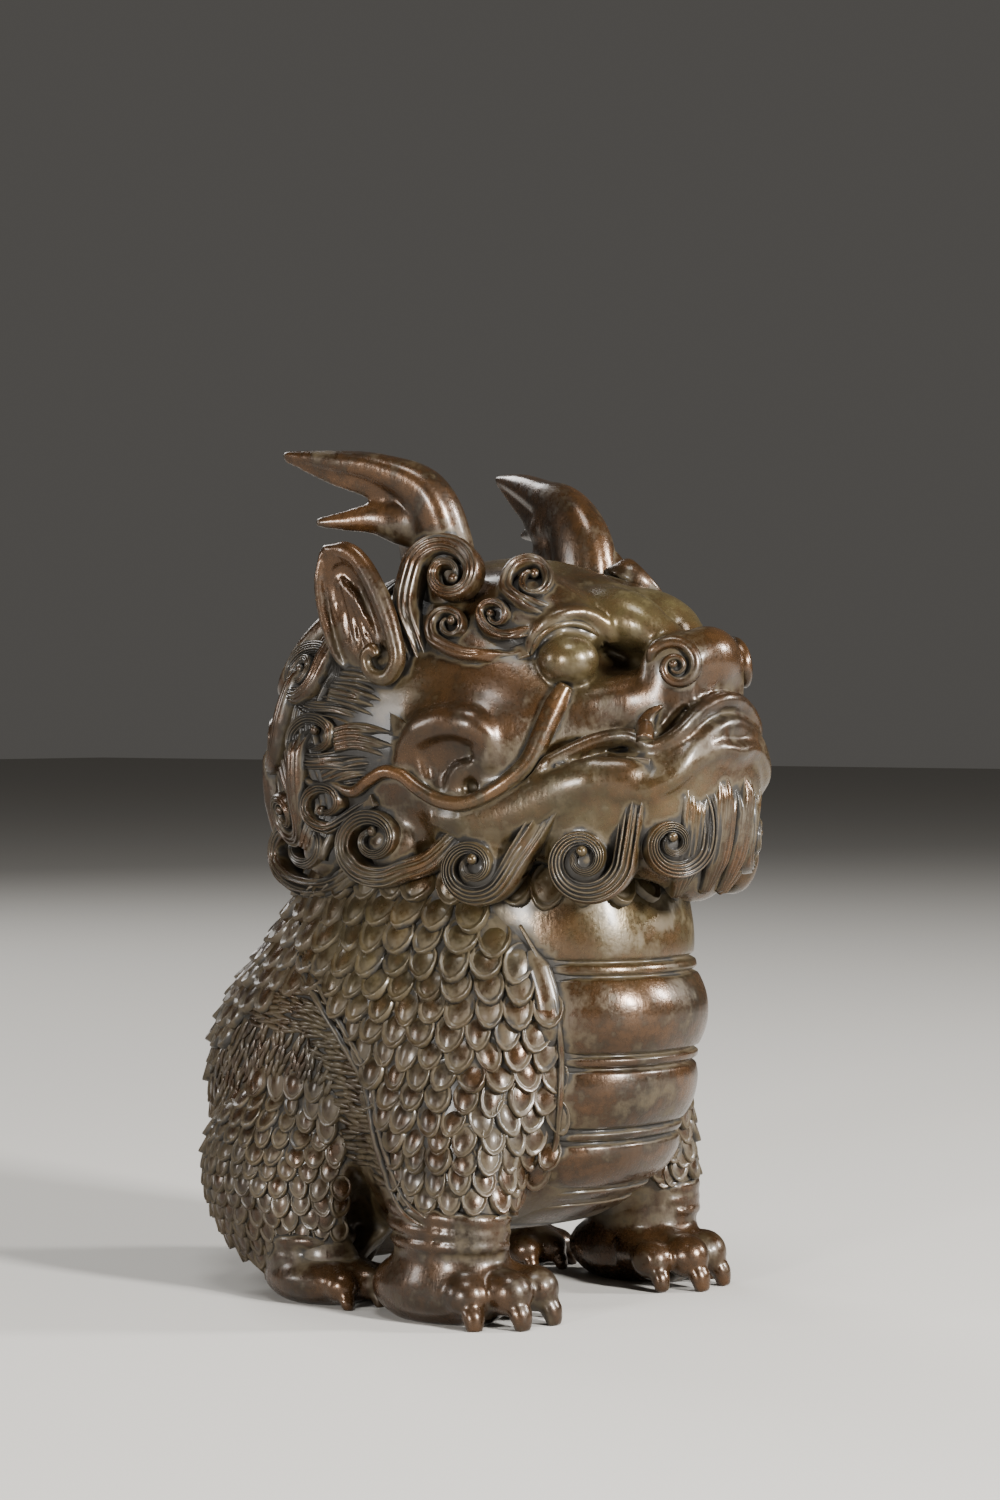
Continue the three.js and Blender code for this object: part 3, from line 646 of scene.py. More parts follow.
def curl_widths(flat, centre, band, squeeze=1.0):
    """Half-width along a coil: the band's own, narrowing with the way left to the centre."""
    return np.minimum(band / 2, NARROWING * np.linalg.norm((flat - centre) / [squeeze, 1], axis=1))


def button(path, out, size):
    """The round knob at the heart of a coil."""
    return ball(path[-1] + np.broadcast_to(out, path.shape)[-1] * 0.25, size, sides=16)


def photo_curl(surface, lead, centre, start, turns, band, at=None, facing=None, strands=5, squeeze=1.0,
               sink=-0.8, rise=1.5, lift=0.25, knob=0.62, slim=1.0, fade_in=0.2, **look):
    """A lock of the photograph that comes in along `lead` and coils up round `centre`."""
    flat = spline([*lead, *coil(centre, start, turns, squeeze)], CURL_POINTS)
    if at is None:
        path, out = traced(flat, surface, CURL_POINTS, lift)
    else:
        at = surface.hit(CAMERA_AT, unit(sight(*at)))[0] if len(at) == 2 else at
        out = unit(facing)
        path = laid_by_sight(flat, at, out, surface, sink, rise) + out * lift
    wide = curl_widths(flat, centre, band, squeeze) * np.linalg.norm(path - CAMERA_AT, axis=1) / FOCUS
    wide *= np.interp(np.linspace(0, 1, CURL_POINTS), [0, SLIM_START], [slim, 1])
    return [lock(path, out, wide, strands, fade_in=fade_in, **look), button(path, out, knob)]


# Way in, centre, start of the coil, its turns and its width, in pixels; place in mm, facing, and what differs
BEARD = [
    ([(690, 756), (699, 784), (706, 812)], (671, 843), (704, 840), 1.75, 24, (-7.7, -32.6, 52.7),
     (-0.5, -0.86, 0), {}),
    ([(637, 756), (634, 782), (630, 816)], (584, 859), (626, 852), 1.75, 25, (-14.6, -25.9, 51.1),
     (-0.9, -0.42, 0), {}),
    ([(564, 768), (549, 798), (533, 832), (519, 857)], (474, 866), (507, 878), 1.7, 25,
     (-18.2, -14.6, 50.3), (-0.98, -0.2, 0), {}),
    ([(470, 812), (448, 838), (427, 861)], (376, 840), (402, 871), 1.6, 23, (-19.6, -2, 52.8), (-1, 0, 0),
     {}),
    ([(346, 868)], (304, 847), (322, 886), 1.5, 20, (-18.0, 10, 51.9), (-0.9, 0.43, 0),
     dict(squeeze=0.85, lift=-0.2))]
CHEEK_LOCKS = [
    ([(404, 732), (388, 725), (370, 720), (340, 710), (312, 706)], (324, 672), (296, 684), 1.3, 34,
     (-19.3, 6.8, 72.4), (-0.96, 0.28, 0.1), dict(strands=7, sink=-2.5, rise=2.5, slim=0.35)),
    ([(398, 760), (386, 758), (368, 758), (338, 760), (310, 760)], (319, 737), (296, 745), 1.3, 26,
     (-19.4, 8, 64.6), (-0.96, 0.28, 0), dict(sink=-2.5, rise=2.5, slim=0.4)),
    ([(368, 800), (352, 812)], (330, 803), (332, 828), 1.1, 13, (-20.2, 4.8, 57), (-0.98, 0.2, 0),
     dict(strands=4))]
BROW_CURLS = [
    ([(420, 672), (412, 640), (405, 606)], (449, 575), (411, 574), 1.6, 24, (-16.2, -5.4, 82),
     (-0.9, -0.2, 0.3), dict(strands=4, sink=-0.4, rise=0.6, lift=0.3, root=2.4)),
    ([(524, 646), (500, 654), (470, 656)], (452, 627), (437, 642), 1.45, 15, (-17, -8.2, 76.6),
     (-0.94, -0.2, 0.3), dict(strands=2, sink=-1.5, rise=2, lift=0.4)),
    ([(548, 615), (534, 628)], (499, 616), (511, 634), 1.4, 12, None, None, dict(strands=2, knob=0.5)),
    ([(574, 606), (560, 609), (540, 608), (518, 601)], (532, 583), (506, 590), 1.35, 15, (540, 606),
     (-0.72, -0.5, 0.48), dict(strands=2, sink=-2, rise=1.5, root=2.2, knob=0.6))]
NOSTRIL = [], (676, 667), (648, 684), 2.2, 13
SIDE_STRANDS = [[(408, 752), (384, 742), (356, 736), (334, 740)],
                [(392, 776), (368, 770), (346, 773), (324, 782)],
                [(398, 716), (372, 702), (350, 694), (330, 690)],
                [(402, 700), (382, 688), (358, 680), (336, 678)]]
STRAND_LENGTH = 37
CHIN_TUFT = [[(-2, -37.1, 64), (-2, -36.7, 57.5), (-1.9, -35.8, 52), (-1.6, -33.6, 47.6)],
             [(-5.6, -35.9, 63.4), (-5.7, -35.3, 57), (-5.4, -34.2, 51.5), (-4.6, -31.8, 47.2)]]
TUFT_LENGTH = 70


def widths(count, *values, stops=None, size=1):
    """Half-widths of a lock at each of its points."""
    return profile(*values, stops=stops, size=size)(np.linspace(0, 1, count))


def side_hair(head):
    made = []
    heavy = dict(thick=1.2, groove=0.75, root=2, fade_in=0.3, sunk=0.9)
    for seed, (*row, more) in enumerate(BEARD + CHEEK_LOCKS):
        made += photo_curl(head, *row, **more, **heavy, seed=seed)
    for seed, (*row, more) in enumerate(BROW_CURLS):
        made += photo_curl(head, *row, **{"root": 1.6, **more}, thick=1.15, seed=seed + 20)
    bare = dict(strands=1, knob=0.5, lift=0.15, fade_in=0.16, thick=0.8, groove=0, root=0.8)
    made += photo_curl(head, *NOSTRIL, **bare)
    for seed, pixels in enumerate(SIDE_STRANDS):
        path, out = traced(pixels, head, STRAND_LENGTH, 0.05)
        wide = widths(STRAND_LENGTH, 1.3, 1.7, 1.5, stops=[0, 0.3, 1])
        made.append(lock(path, out, wide, 5, seed=seed + 50, thick=0.7, groove=0.4, fade_in=0.5, sunk=0.7))
    for seed, points in enumerate(CHIN_TUFT):
        out = unit((-0.12 - 0.25 * seed, -1, 0))
        wide = widths(TUFT_LENGTH, 1.5, 1.9, 1.7, 0.5, stops=[0, 0.2, 0.75, 1])
        path = spline(points, TUFT_LENGTH) - out * 0.45
        made.append(lock(path, out, wide, 5, seed=seed + 40, thick=1.0, root=2.4, fade_in=0.3))
    return made


# A free curl's way in and start, in lengths of its radius
LEAD_DOWN = [(1.0, -2.3), (0.95, -1.6), (0.9, -0.9), (0.82, -0.35)]
FREE_START = (0.74, 0.1)
# Turn from the front through the right side, rise in degrees, and radius in mm
BACK_CURLS = [(134, -15, 5.0), (157, -17, 5.2), (180, -15, 5.2), (143, 6, 5.0), (167, 5, 5.1), (127, 26, 4.6),
              (153, 27, 4.9), (180, 27, 5.0)]
HEAD_MIDDLE = np.array([0, 0, 62.0])
OUTSIDE = 60  # mm from an axis, beyond every surface
COMB_POINTS = 64


def free_curl(surface, at, facing, radius, seed):
    """A lock laid on a surface out of the photograph's sight."""
    out = unit(facing)
    across = unit(np.cross(UPWARD, out))
    up = unit(np.cross(out, across))
    flat = spline([*LEAD_DOWN, *coil((0, 0), FREE_START, 1.6)], 84)
    path = laid_on(at + radius * (flat[:, :1] * across - flat[:, 1:] * up), out, surface, 0.9)
    wide = curl_widths(flat, (0, 0), 0.66) * radius
    return [lock(path, out, wide, 4, seed=seed, thick=1.25, groove=0.6, root=1.8), button(path, out, 0.6)]


def bearing(turn, rise=0.0):
    """Directions by their turn from the front through the right side and their rise, in radians."""
    level = np.cos(rise)
    return np.stack([-np.sin(turn) * level, -np.cos(turn) * level, np.sin(rise) + 0 * turn], -1)


def head_point(head, turn, rise):
    """Where a line from the middle of the head leaves it."""
    away = bearing(math.radians(turn), math.radians(rise))
    return head.hit(HEAD_MIDDLE + away * OUTSIDE, -away)


def back_hair(head):
    """Rows of curls over the back of the head, with combed strands above them."""
    made = []
    for seed, (turn, rise, radius) in enumerate(BACK_CURLS):
        locks = free_curl(head, *head_point(head, turn, rise), radius, seed + 60)
        made += locks
        if turn < 180:
            made += [mirror(part) for part in locks]
    for seed, turn in enumerate(np.arange(118, 181, 15.5)):
        found = [head_point(head, turn + 5 * math.sin(rise / 9), rise) for rise in np.arange(82, -36, -12)]
        path, out = (spline(rows, COMB_POINTS) for rows in zip(*found))
        wide = widths(COMB_POINTS, 0.35, 0.8, 1, 0.9, stops=[0, 0.2, 0.5, 1], size=2.9)
        comb = lock(path + unit(out) * 0.1, unit(out), wide, 5, seed=seed + 80, thick=0.6)
        made += [comb, mirror(comb)]
    return made


# Lines of the photograph, as pixels
WHISKER = [(566, 684), (556, 705), (543, 733), (527, 764), (499, 789), (465, 804), (440, 800), (420, 788),
           (403, 774), (387, 771), (371, 780), (356, 791), (338, 785), (322, 786), (301, 772), (294, 760)]
TUSK = [(645, 742), (646, 728), (652, 714), (662, 706)]
LID = [(531, 655), (540, 637), (556, 626), (577, 624), (594, 632), (603, 646)]


def face_lines(head):
    """Whisker, tusk and eyelid."""
    thin = dict(stops=[0, 0.05, 0.16, 0.34, 0.8, 1])
    wide, high = (profile(0.9, 1.3, 1.2, 0.9, 0.72, 0.35, **thin, size=size) for size in (1, 1.05))
    return [bead(WHISKER, head, 150, 0.35, wide, high, steady=6),
            bead(TUSK, head, 30, 0.2, profile(1.0, 1.15, 0.2), profile(1.1, 0.9, 0.2)),
            bead(LID, head, 50, 0.0, taper(0.4, 0.4, 0.3), taper(0.42, 0.4, 0.3))]


# Horns, ears and tail

# Place, then half-sizes across and along the blade
RIGHT_HORN = [[-10.6, -2.4, 80, 3.2, 5.2], [-12, -2.8, 87, 3, 5], [-13.6, -1.8, 91.6, 2.8, 4.4],
              [-15.8, 2, 94.4, 2.2, 2.9], [-18, 7, 95.7, 1.6, 2], [-20, 12.6, 97.1, 0.5, 0.6]]
LEFT_HORN = [[-12, -4.4, 79, 3.2, 6.8], [-12.8, -3.2, 86.5, 3.1, 6.6], [-14, -1, 90.2, 2.8, 5.2],
             [-15.4, 2.6, 92.4, 2.3, 3.6], [-17.6, 7.6, 94.6, 1.7, 2.3], [-19.7, 12.5, 96.3, 0.5, 0.6]]
TINE = [(-13.4, -3, 87.6), (-15.4, 2, 89.8), (-17.6, 5.4, 89.6), (-19.4, 8.2, 89.4)]
EAR_LEAF = [[-15.4, 1.8, 71, 3, 2.6], [-16.6, 1.7, 74, 4.9, 2.4], [-17.8, 2.1, 78, 5.2, 2],
            [-18.8, 3.3, 82, 4.1, 1.6], [-20.3, 5.7, 86.4, 0.9, 0.8]]
EAR_RIM = [(-20.6, 6, 86.4), (-20.3, 2, 85.6), (-20, -1.2, 81.6), (-19.8, -3.4, 76.6), (-19.7, -4, 73.4),
           (-19.7, -2.4, 71.6), (-20, -0.3, 72.3), (-20.2, 0.2, 74), (-20.3, -1, 75), (-20.3, -1.6, 74)]
EAR_BACK = [(-20.6, 6.2, 86), (-20.2, 6.9, 82), (-19.4, 6.7, 77.6), (-18.2, 5.6, 73.6), (-17.2, 3.4, 71.6)]


def blade(rows, forward, half_share, depth_share, exponent=2.0):
    rows = spline(rows, 60)
    wide = unit(np.cross(unit(np.gradient(rows[:, :3], axis=0)), SIDEWAYS))
    flat = unit(np.cross(wide, unit(np.gradient(rows[:, :3], axis=0))))
    at = rows[:, :3] - wide * (rows[:, 4] * forward)[:, None]
    return loft(at, flat, wide, 28, rows[:, 3] * half_share, rows[:, 4] * depth_share, exponent=exponent)


def horn(rows):
    """A horn on the right side: a thin crest with a thicker front edge, and a second point behind."""
    clay = Clay((-24, -13, 78), (-5, 16, 99), HORN_GRID)
    clay.add(blade(rows, 0, 0.42, 0.97))
    clay.add(blade(rows, 0.4, 0.95, 0.58, 2.5), 0.4)
    wide, high = profile(0.9, 1.4, 0.5, stops=[0, 0.4, 1]), profile(1.8, 2.1, 0.5, stops=[0, 0.4, 1])
    clay.add(sweep(TINE, wide, high, UPWARD, 40), 0.8)
    clay.add(ball((-14, -0.2, 89.6), (2, 3, 2.7)), 0.8)
    return clay.surface()


def ear():
    """A leaf hollowed on its outer side, with veins, a rolled rim and a ridge behind."""
    clay = Clay((-24, -8, 67), (-12, 10, 89), EAR_GRID)
    rows = spline(EAR_LEAF, 50)
    clay.add(loft(rows[:, :3], BACKWARD, SIDEWAYS, 32, rows[:, 3], rows[:, 4]))
    clay.add(ball((-20.4, 1.9, 78.4), (1.9, 3.4, 6.6), -20), 0.5, CUT)
    for share in np.linspace(0, 1, 4):
        start = np.array((-19.3, 5 - 2.2 * share, 84 - 2.4 * share))
        end = np.array((-18.5, 3.9 - 4.6 * share, 74.4 + 0.8 * share))
        vein = [start, (start + end) / 2 + (0.35, 0, -0.3), end]
        clay.add(sweep(vein, taper(0.5, 0.5, 0.5), taper(0.75, 0.5, 0.5), -SIDEWAYS, 20), 0.3)
    rim = dict(stops=[0, 0.1, 0.4, 0.7, 1])
    wide, high = profile(0.4, 1.1, 1.3, 1.0, 0.65, **rim), profile(0.4, 0.9, 1.0, 0.95, 0.7, **rim)
    clay.add(sweep(EAR_RIM, wide, high, -SIDEWAYS, 120), 0.25)
    back = dict(stops=[0, 0.2, 1])
    wide, high = profile(0.4, 0.55, 0.5, **back), profile(0.5, 0.9, 0.5, **back)
    clay.add(sweep(EAR_BACK, wide, high, (-1, 0.2, 0), 60), 0.3)
    return clay.surface(1)


# Line, half-width and height in mm, and what the lock faces
TAIL_MIDDLE = [(0, 30, 3), (0, 34.4, 8), (0, 35.4, 15), (0, 34.6, 22), (0, 32.6, 29)], 3.2, 2.0, (0, 1, 0.1)
TAIL_SIDE = [(-3.6, 30.6, 4), (-6, 33.6, 10), (-6.6, 33.8, 16), (-4.6, 33.2, 22)], 2.6, 1.8, (-0.35, 1, 0.1)
TAIL_POINTS = 90


def tail_lock(points, half, tall, out):
    wide = widths(TAIL_POINTS, 0.6, 1, 0.75, 0.15, stops=[0, 0.25, 0.7, 1], size=half)
    return lock(spline(points, TAIL_POINTS), unit(out), wide, 5, thick=tall, root=2.4, seed=int(half * 10))


def tail():
    """Flame-shaped locks that lie up against the rump, grooved as the mane is."""
    side = tail_lock(*TAIL_SIDE)
    return merged([tail_lock(*TAIL_MIDDLE), side, mirror(side)])


# Scales and fur

SCALE_SIDES = 14
SCALE_TURNS = 2 * np.pi * np.arange(SCALE_SIDES) / SCALE_SIDES
SCALE_CROWN = 0.38
# Share of the outline, height, and how enclosed, which gives dust and, at the most, painted shade: clean on
# the dome, dusty in the groove and under the next row, with painted shade at the sunken edge
SCALE_RINGS = [(0.45, 0.33, 0.05), (0.7, 0.16, 0.35), (0.8, 0.12, 0.55), (0.92, 0.36, 0.3), (1.0, 0.3, 0.42),
               (1.07, -0.4, 1.0)]
TILT = 0.46  # rise of a scale from its root to its tip
ROW_STEP = 0.76  # from row to row, in widths of a scale
HALF_LENGTH = 0.68  # in widths of a scale
UNEVEN_SIZE = 0.9, 1.12
UNEVEN_PLACE = 0.2
UNEVEN_SPIN = 0.32
UNEVEN_LEAN = 0.07


def scale_meshes(place, normal, half, length, spin):
    """A domed scale with a raised rim at each place."""
    normal = unit(normal + UNEVEN_LEAN * RANDOM.uniform(-1, 1, (len(place), 3)))
    down = unit(normal * normal[:, 2:] - UPWARD)
    side = np.cross(normal, down)
    c, s = np.cos(spin)[:, None], np.sin(spin)[:, None]
    down, side = down * c + side * s, side * c - down * s
    ahead, aside = np.cos(SCALE_TURNS), np.sin(SCALE_TURNS)
    x = np.sign(aside) * np.abs(aside) ** 1.1
    y = np.where(ahead > 0, ahead * (1 + 0.05 * ahead ** 4), 0.85 * ahead)
    rings = [np.stack([share * x, share * y, 0 * x + high], 1) for share, high, _ in SCALE_RINGS]
    flat = np.concatenate([[[0, 0, SCALE_CROWN]], *rings])
    flat[:, 2] += TILT * flat[:, 1]
    x, y, high = (flat[:, k, None] * size[:, None, None] for k, size in enumerate((half, length, half / 1.3)))
    points = place[:, None] + side[:, None] * x + down[:, None] * y + normal[:, None] * high
    k = np.arange(SCALE_SIDES)
    tris = np.stack([0 * k, 1 + np.roll(k, -1), 1 + k], 1)
    quads = 1 + ring_quads(len(SCALE_RINGS), SCALE_SIDES)
    base = np.arange(len(place))[:, None, None] * len(flat)
    return points.reshape(-1, 3), (quads + base).reshape(-1, 4), (tris + base).reshape(-1, 3)


def scale_dust_and_shade(count):
    """How enclosed each of so many points of scales is, which gives dust and, where most enclosed, painted
    shade.
    """
    # More enclosed on the upper side, under the next row: more dust and painted shade there
    under = 0.35 * np.clip(-np.cos(SCALE_TURNS), 0, 1)
    rings = [dust + under * (0.5 if share < 0.5 else 1) for share, _, dust in SCALE_RINGS]
    one = np.concatenate([[0.0], *rings])
    return np.tile(one, count // len(one))


def inside(pixels, polygon):
    """Which pixels lie in a polygon."""
    a = np.array(polygon, float)
    b = np.roll(a, -1, axis=0)
    x, y = pixels[:, :1], pixels[:, 1:]
    crosses = (a[:, 1] > y) != (b[:, 1] > y)
    at = a[:, 0] + (y - a[:, 1]) * (b[:, 0] - a[:, 0]) / np.where(a[:, 1] == b[:, 1], 1e-9, b[:, 1] - a[:, 1])
    return (crosses & (x < at)).sum(1) % 2 == 1


# Areas of the photograph's view with fur and those that are bare, as pixels
FUR_BAND = [(292, 985), (313, 980), (339, 1026), (368, 1078), (377, 1124), (388, 1164), (400, 1196),
            (366, 1196), (353, 1158), (345, 1112), (310, 1040), (246, 1020), (244, 1004)]
HAUNCH_FUR = [(212, 1062), (228, 1032), (262, 1022), (310, 1038), (340, 1100), (318, 1082), (288, 1070),
              (252, 1078), (222, 1100)]
BARE_GAP = [(356, 1168), (356, 1240), (402, 1240), (392, 1168)]
BARE_FRONT = [(470, 890), (512, 918), (540, 962), (551, 990), (558, 1030), (560, 1075), (558, 1115),
              (554, 1150), (540, 1172), (512, 1200), (503, 1230), (503, 1330), (800, 1330), (800, 890)]
# Sizes of scales by height
FLANK_WIDTH = profile(2.45, 2.7, 3.1, 3.3, 3.9, stops=[8, 14, 24, 36, 44])
THIGH_WIDTH = profile(2.1, 2.4, 2.5, stops=[3, 12, 24])
LEG_WIDTH = profile(2.6, stops=[0])
# Turns from the front through the right side at which a level cut is looked for, in radians
HALF_TURN = np.linspace(0.02, np.pi + 0.05, 440)
FULL_TURN = np.linspace(-0.2, 2 * np.pi - 0.2, 360)
HAUNCH_EDGE = 1.06  # share of the haunch's half-sizes at which its scales give way to those of the flank
SHIN_TOP = 13.8  # height below which the foreleg is bare
# Axis of the level cuts, and the heights between which they lie
FLANK_CUTS = (0, 2), 8.6, 51
THIGH_CUTS = HAUNCH_AT[:2], 3.5, 27
LEG_CUTS = (-17, -8), SHIN_TOP, 26
CUT_JUMP = 1.2  # mm from point to point of a cut at which no scale is placed


def in_haunch(rows):
    return np.linalg.norm((rows[:, :3] - HAUNCH_AT) / HAUNCH_HALF, axis=1) < HAUNCH_EDGE


def furred(rows):
    pixels = seen_at(rows[:, :3])
    return inside(pixels, FUR_BAND) | inside(pixels, HAUNCH_FUR)


def slice_points(surface, axis, z, turns):
    """Where a level cut meets a surface, seen from its axis: places and directions."""
    away = bearing(turns)
    found = np.hstack(surface.hits([*axis, z] + away * OUTSIDE, -away))
    return found[~np.isnan(found[:, 0])]


def row_seeds(cut, width, offset):
    """Places at even steps along a cut, where it runs on without a jump."""
    if len(cut) < 3:
        return np.zeros((0, 6))
    gaps = steps(cut[:, :3])
    length = summed(np.minimum(gaps, 1.5))
    cut = np.concatenate([cut[:, :3], blurred(cut[:, 3:], 3)], 1)
    wanted = np.arange(offset * width, length[-1], width)
    i = np.clip(np.searchsorted(length, wanted) - 1, 0, len(gaps) - 1)
    share = ((wanted - length[i]) / np.maximum(length[i + 1] - length[i], 1e-9))[:, None]
    rows = cut[i] * (1 - share) + cut[i + 1] * share
    return rows[gaps[i] < CUT_JUMP]


def scale_rows(surface, axis, low, high, width, turns):
    """Places, directions and widths row by row, each row half a scale on from the one below."""
    rows, z = [], low
    while z < high:
        seeds = row_seeds(slice_points(surface, axis, z, turns), width(z), 0.5 * (len(rows) % 2))
        rows.append(np.pad(seeds, [(0, 0), (0, 1)], constant_values=width(z)))
        z += ROW_STEP * width(z)
    return np.concatenate(rows)


def finished_seeds(rows):
    """Each scale's place, direction, half-width, length and spin, all a little uneven."""
    normal, width, n = unit(rows[:, 3:6]), rows[:, 6], len(rows)
    steep = np.sqrt(np.clip(1 - normal[:, 2] ** 2, 0.25, 1))
    half = width * 0.5 * RANDOM.uniform(*UNEVEN_SIZE, n)
    length = HALF_LENGTH * width * RANDOM.uniform(*UNEVEN_SIZE, n) / steep ** 0.7
    place = rows[:, :3] + normal * 0.02 + RANDOM.uniform(-UNEVEN_PLACE, UNEVEN_PLACE, (n, 3))
    return place, normal, half, length, RANDOM.uniform(-UNEVEN_SPIN, UNEVEN_SPIN, n)


def scales(body):
    """Scales of the right side, left out where there are fur, plates or bare skin."""
    flank = scale_rows(body, *FLANK_CUTS, FLANK_WIDTH, HALF_TURN)
    x, y, z = flank[:, :3].T
    seen = ((CAMERA_AT - flank[:, :3]) * flank[:, 3:6]).sum(1) > 0
    bare = (y < 0) & (inside(seen_at(flank[:, :3]), BARE_FRONT) | (z < SHIN_TOP))
    flank = flank[~(seen & furred(flank)) & ~bare & ~in_haunch(flank) & (x < 0.3)]
    thigh = scale_rows(body, *THIGH_CUTS, THIGH_WIDTH, FULL_TURN)
    thigh = thigh[in_haunch(thigh) & ~furred(thigh)]
    leg = scale_rows(body, *LEG_CUTS, LEG_WIDTH, FULL_TURN)
    leg = leg[(leg[:, 3] > 0.15) & (leg[:, 0] < -6) & (leg[:, 1] < 2)]
    rows = np.concatenate([flank, thigh, leg])
    return scale_meshes(*finished_seeds(rows[~inside(seen_at(rows[:, :3]), BARE_GAP)]))


# Area, slant and spread of the hairs in radians, and their spacing in pixels
FUR = [(FUR_BAND, 0.25, 0.3, (11.0, 5.2)), (HAUNCH_FUR, -1.25, 0.25, (5.2, 11.0))]
FUR_JUMP = 1.2  # mm from point to point at which a hair has left the surface


def strokes(body):
    """Short chased hairs beside the seam and on top of the haunch."""
    made = []
    for polygon, slant, spread, step in FUR:
        corners = np.min(polygon, 0), np.max(polygon, 0)
        sides = [np.arange(low, high, by) for low, high, by in zip(*corners, step)]
        dots = np.stack([place.ravel() for place in np.meshgrid(*sides)], 1)
        dots = dots + RANDOM.uniform(-0.4, 0.4, dots.shape) * step
        for dot in dots[inside(dots, polygon)]:
            turn = slant + RANDOM.uniform(-spread, spread)
            reach = RANDOM.uniform(8, 13)
            bend = RANDOM.uniform(-1.6, 1.6)
            ahead = np.array([math.cos(turn), math.sin(turn)])
            bow = np.array([-ahead[1], ahead[0]]) * bend
            path, out = traced([dot - ahead * reach, dot + bow, dot + ahead * reach], body, 7, 0.05, 1)
            if steps(path).max() <= FUR_JUMP:
                sizes = [taper(size, 0.4, 0.2, 0.3, 0.6) for size in (0.4, 0.42)]
                made.append(sweep(path, *sizes, out, 7, 6))
    return merged(made)


# Lines of the photograph, as pixels
SEAM = [(297, 925), (303, 950), (313, 980), (326, 1005), (339, 1026), (354, 1052), (368, 1078), (374, 1100),
        (377, 1124), (382, 1146), (388, 1164), (397, 1190), (408, 1210), (425, 1222)]
PLATE_EDGE = [(520, 925), (540, 962), (552, 990), (559, 1030), (561, 1075), (559, 1115), (554, 1150),
              (540, 1180)]
ROLL = [(531, 950), (540, 975), (547, 1000), (550, 1024), (548, 1048)]
# Line, half-width, height and distance to either side, all but the line in mm
CHASED_LINES = [(SEAM, 0.5, 0.62, 0.55), (SEAM, 0.42, 0.55, -0.55), (PLATE_EDGE, 0.42, 0.55, 0),
                (ROLL, 1.5, 0.7, 0)]
LINE_POINTS = 110


def body_lines(body):
    """The double seam of the shoulder, the edge of the plates and the roll beside them."""
    made = []
    for pixels, *sizes, aside in CHASED_LINES:
        wide, high = (taper(size, 0.4, 0.3, 0.2, 0.2) for size in sizes)
        made.append(bead(pixels, body, LINE_POINTS, 0.1, wide, high, sides=10, aside=aside))
    return made


# Objects

def in_frame(points):
    """Points in mm of the figure's own frame, in metres of the shared one."""
    return points * MM + [0, SETBACK * MM, 0]


def linked(name, data):
    made = bpy.data.objects.new(name, data)
    bpy.context.collection.objects.link(made)
    return made


def mesh_object(name, mesh, smooth=True):
    points, quads, tris = mesh
    data = bpy.data.meshes.new(name)
    data.vertices.add(len(points))
    data.vertices.foreach_set("co", in_frame(points).astype(np.float32).ravel())
    loops = np.concatenate([quads.ravel(), tris.ravel()]).astype(np.int32)
    data.loops.add(len(loops))
    data.loops.foreach_set("vertex_index", loops)
    starts = np.concatenate([np.arange(len(quads)) * 4, quads.size + np.arange(len(tris)) * 3])
    data.polygons.add(len(starts))
    data.polygons.foreach_set("loop_start", starts.astype(np.int32))
    data.polygons.foreach_set("use_smooth", np.full(len(starts), smooth))
    data.update(calc_edges=True)
    data.validate()
    return linked(name, data)


# Patina and painted shade: how enclosed, how sheltered, how olive and how worn each point of the surface is;
# enclosed points get dust and, the deepest, painted shade

# Distance off the surface at which a point is sampled, grid spacing and spread, in mm
CLOSE_BY = 0.35, 0.3, 0.36
ROUND_ABOUT = 1.2, 0.9, 1.1
# Crowding from which a point counts as enclosed or sheltered, and how much more makes it wholly so
ENCLOSED_FROM, ENCLOSED_OVER = 0.75, 1.1
SHELTERED_FROM, SHELTERED_OVER = 0.8, 2.2
KERNEL = 3  # cells over which the surface is spread
# Place on the right side, reach in mm and strength of the yellow-green film
OLIVE_SPOTS = [((2.9, -25, 79), 5.5, 1), ((10.5, -22, 74), 3.6, 1), ((5, -24, 46), 7, 0.6),
               ((12, -12, 46), 8, 0.6), ((0, -9, 84), 6, 0.9), ((14, -25, 55), 8, 0.4),
               ((17, -14, 52), 7, 0.4), ((19, -2, 70), 6, 0.25), ((17, 0, 40), 10, 0.5),
               ((8, -34, 58), 6, 0.35)]
# How worn each piece is, where it isn't the usual
WORN_AS_USUAL = 0.15
WEAR = dict(head=0.35, whiskers=0.9, horns=0.5, ears=0.4, paws=0.35, belly_plates=0.4, mane=0.5,
            mane_back=0.35, seams=0.6, tail=0.3, scales_right=0.35, scales_left=0.35)


def point_areas(mesh):
    """Area-weighted direction at each point; its length is the point's share of the area."""
    points, quads, tris = mesh
    total = np.zeros_like(points)
    for faces in (quads, tris):
        a, *others = points[faces.T]
        area = sum(np.cross(b - a, c - a) / 2 for b, c in zip(others, others[1:]))
        for corner in faces.T:
            for axis in range(3):
                total[:, axis] += np.bincount(corner, area[:, axis], len(points)) / faces.shape[1]
    return total


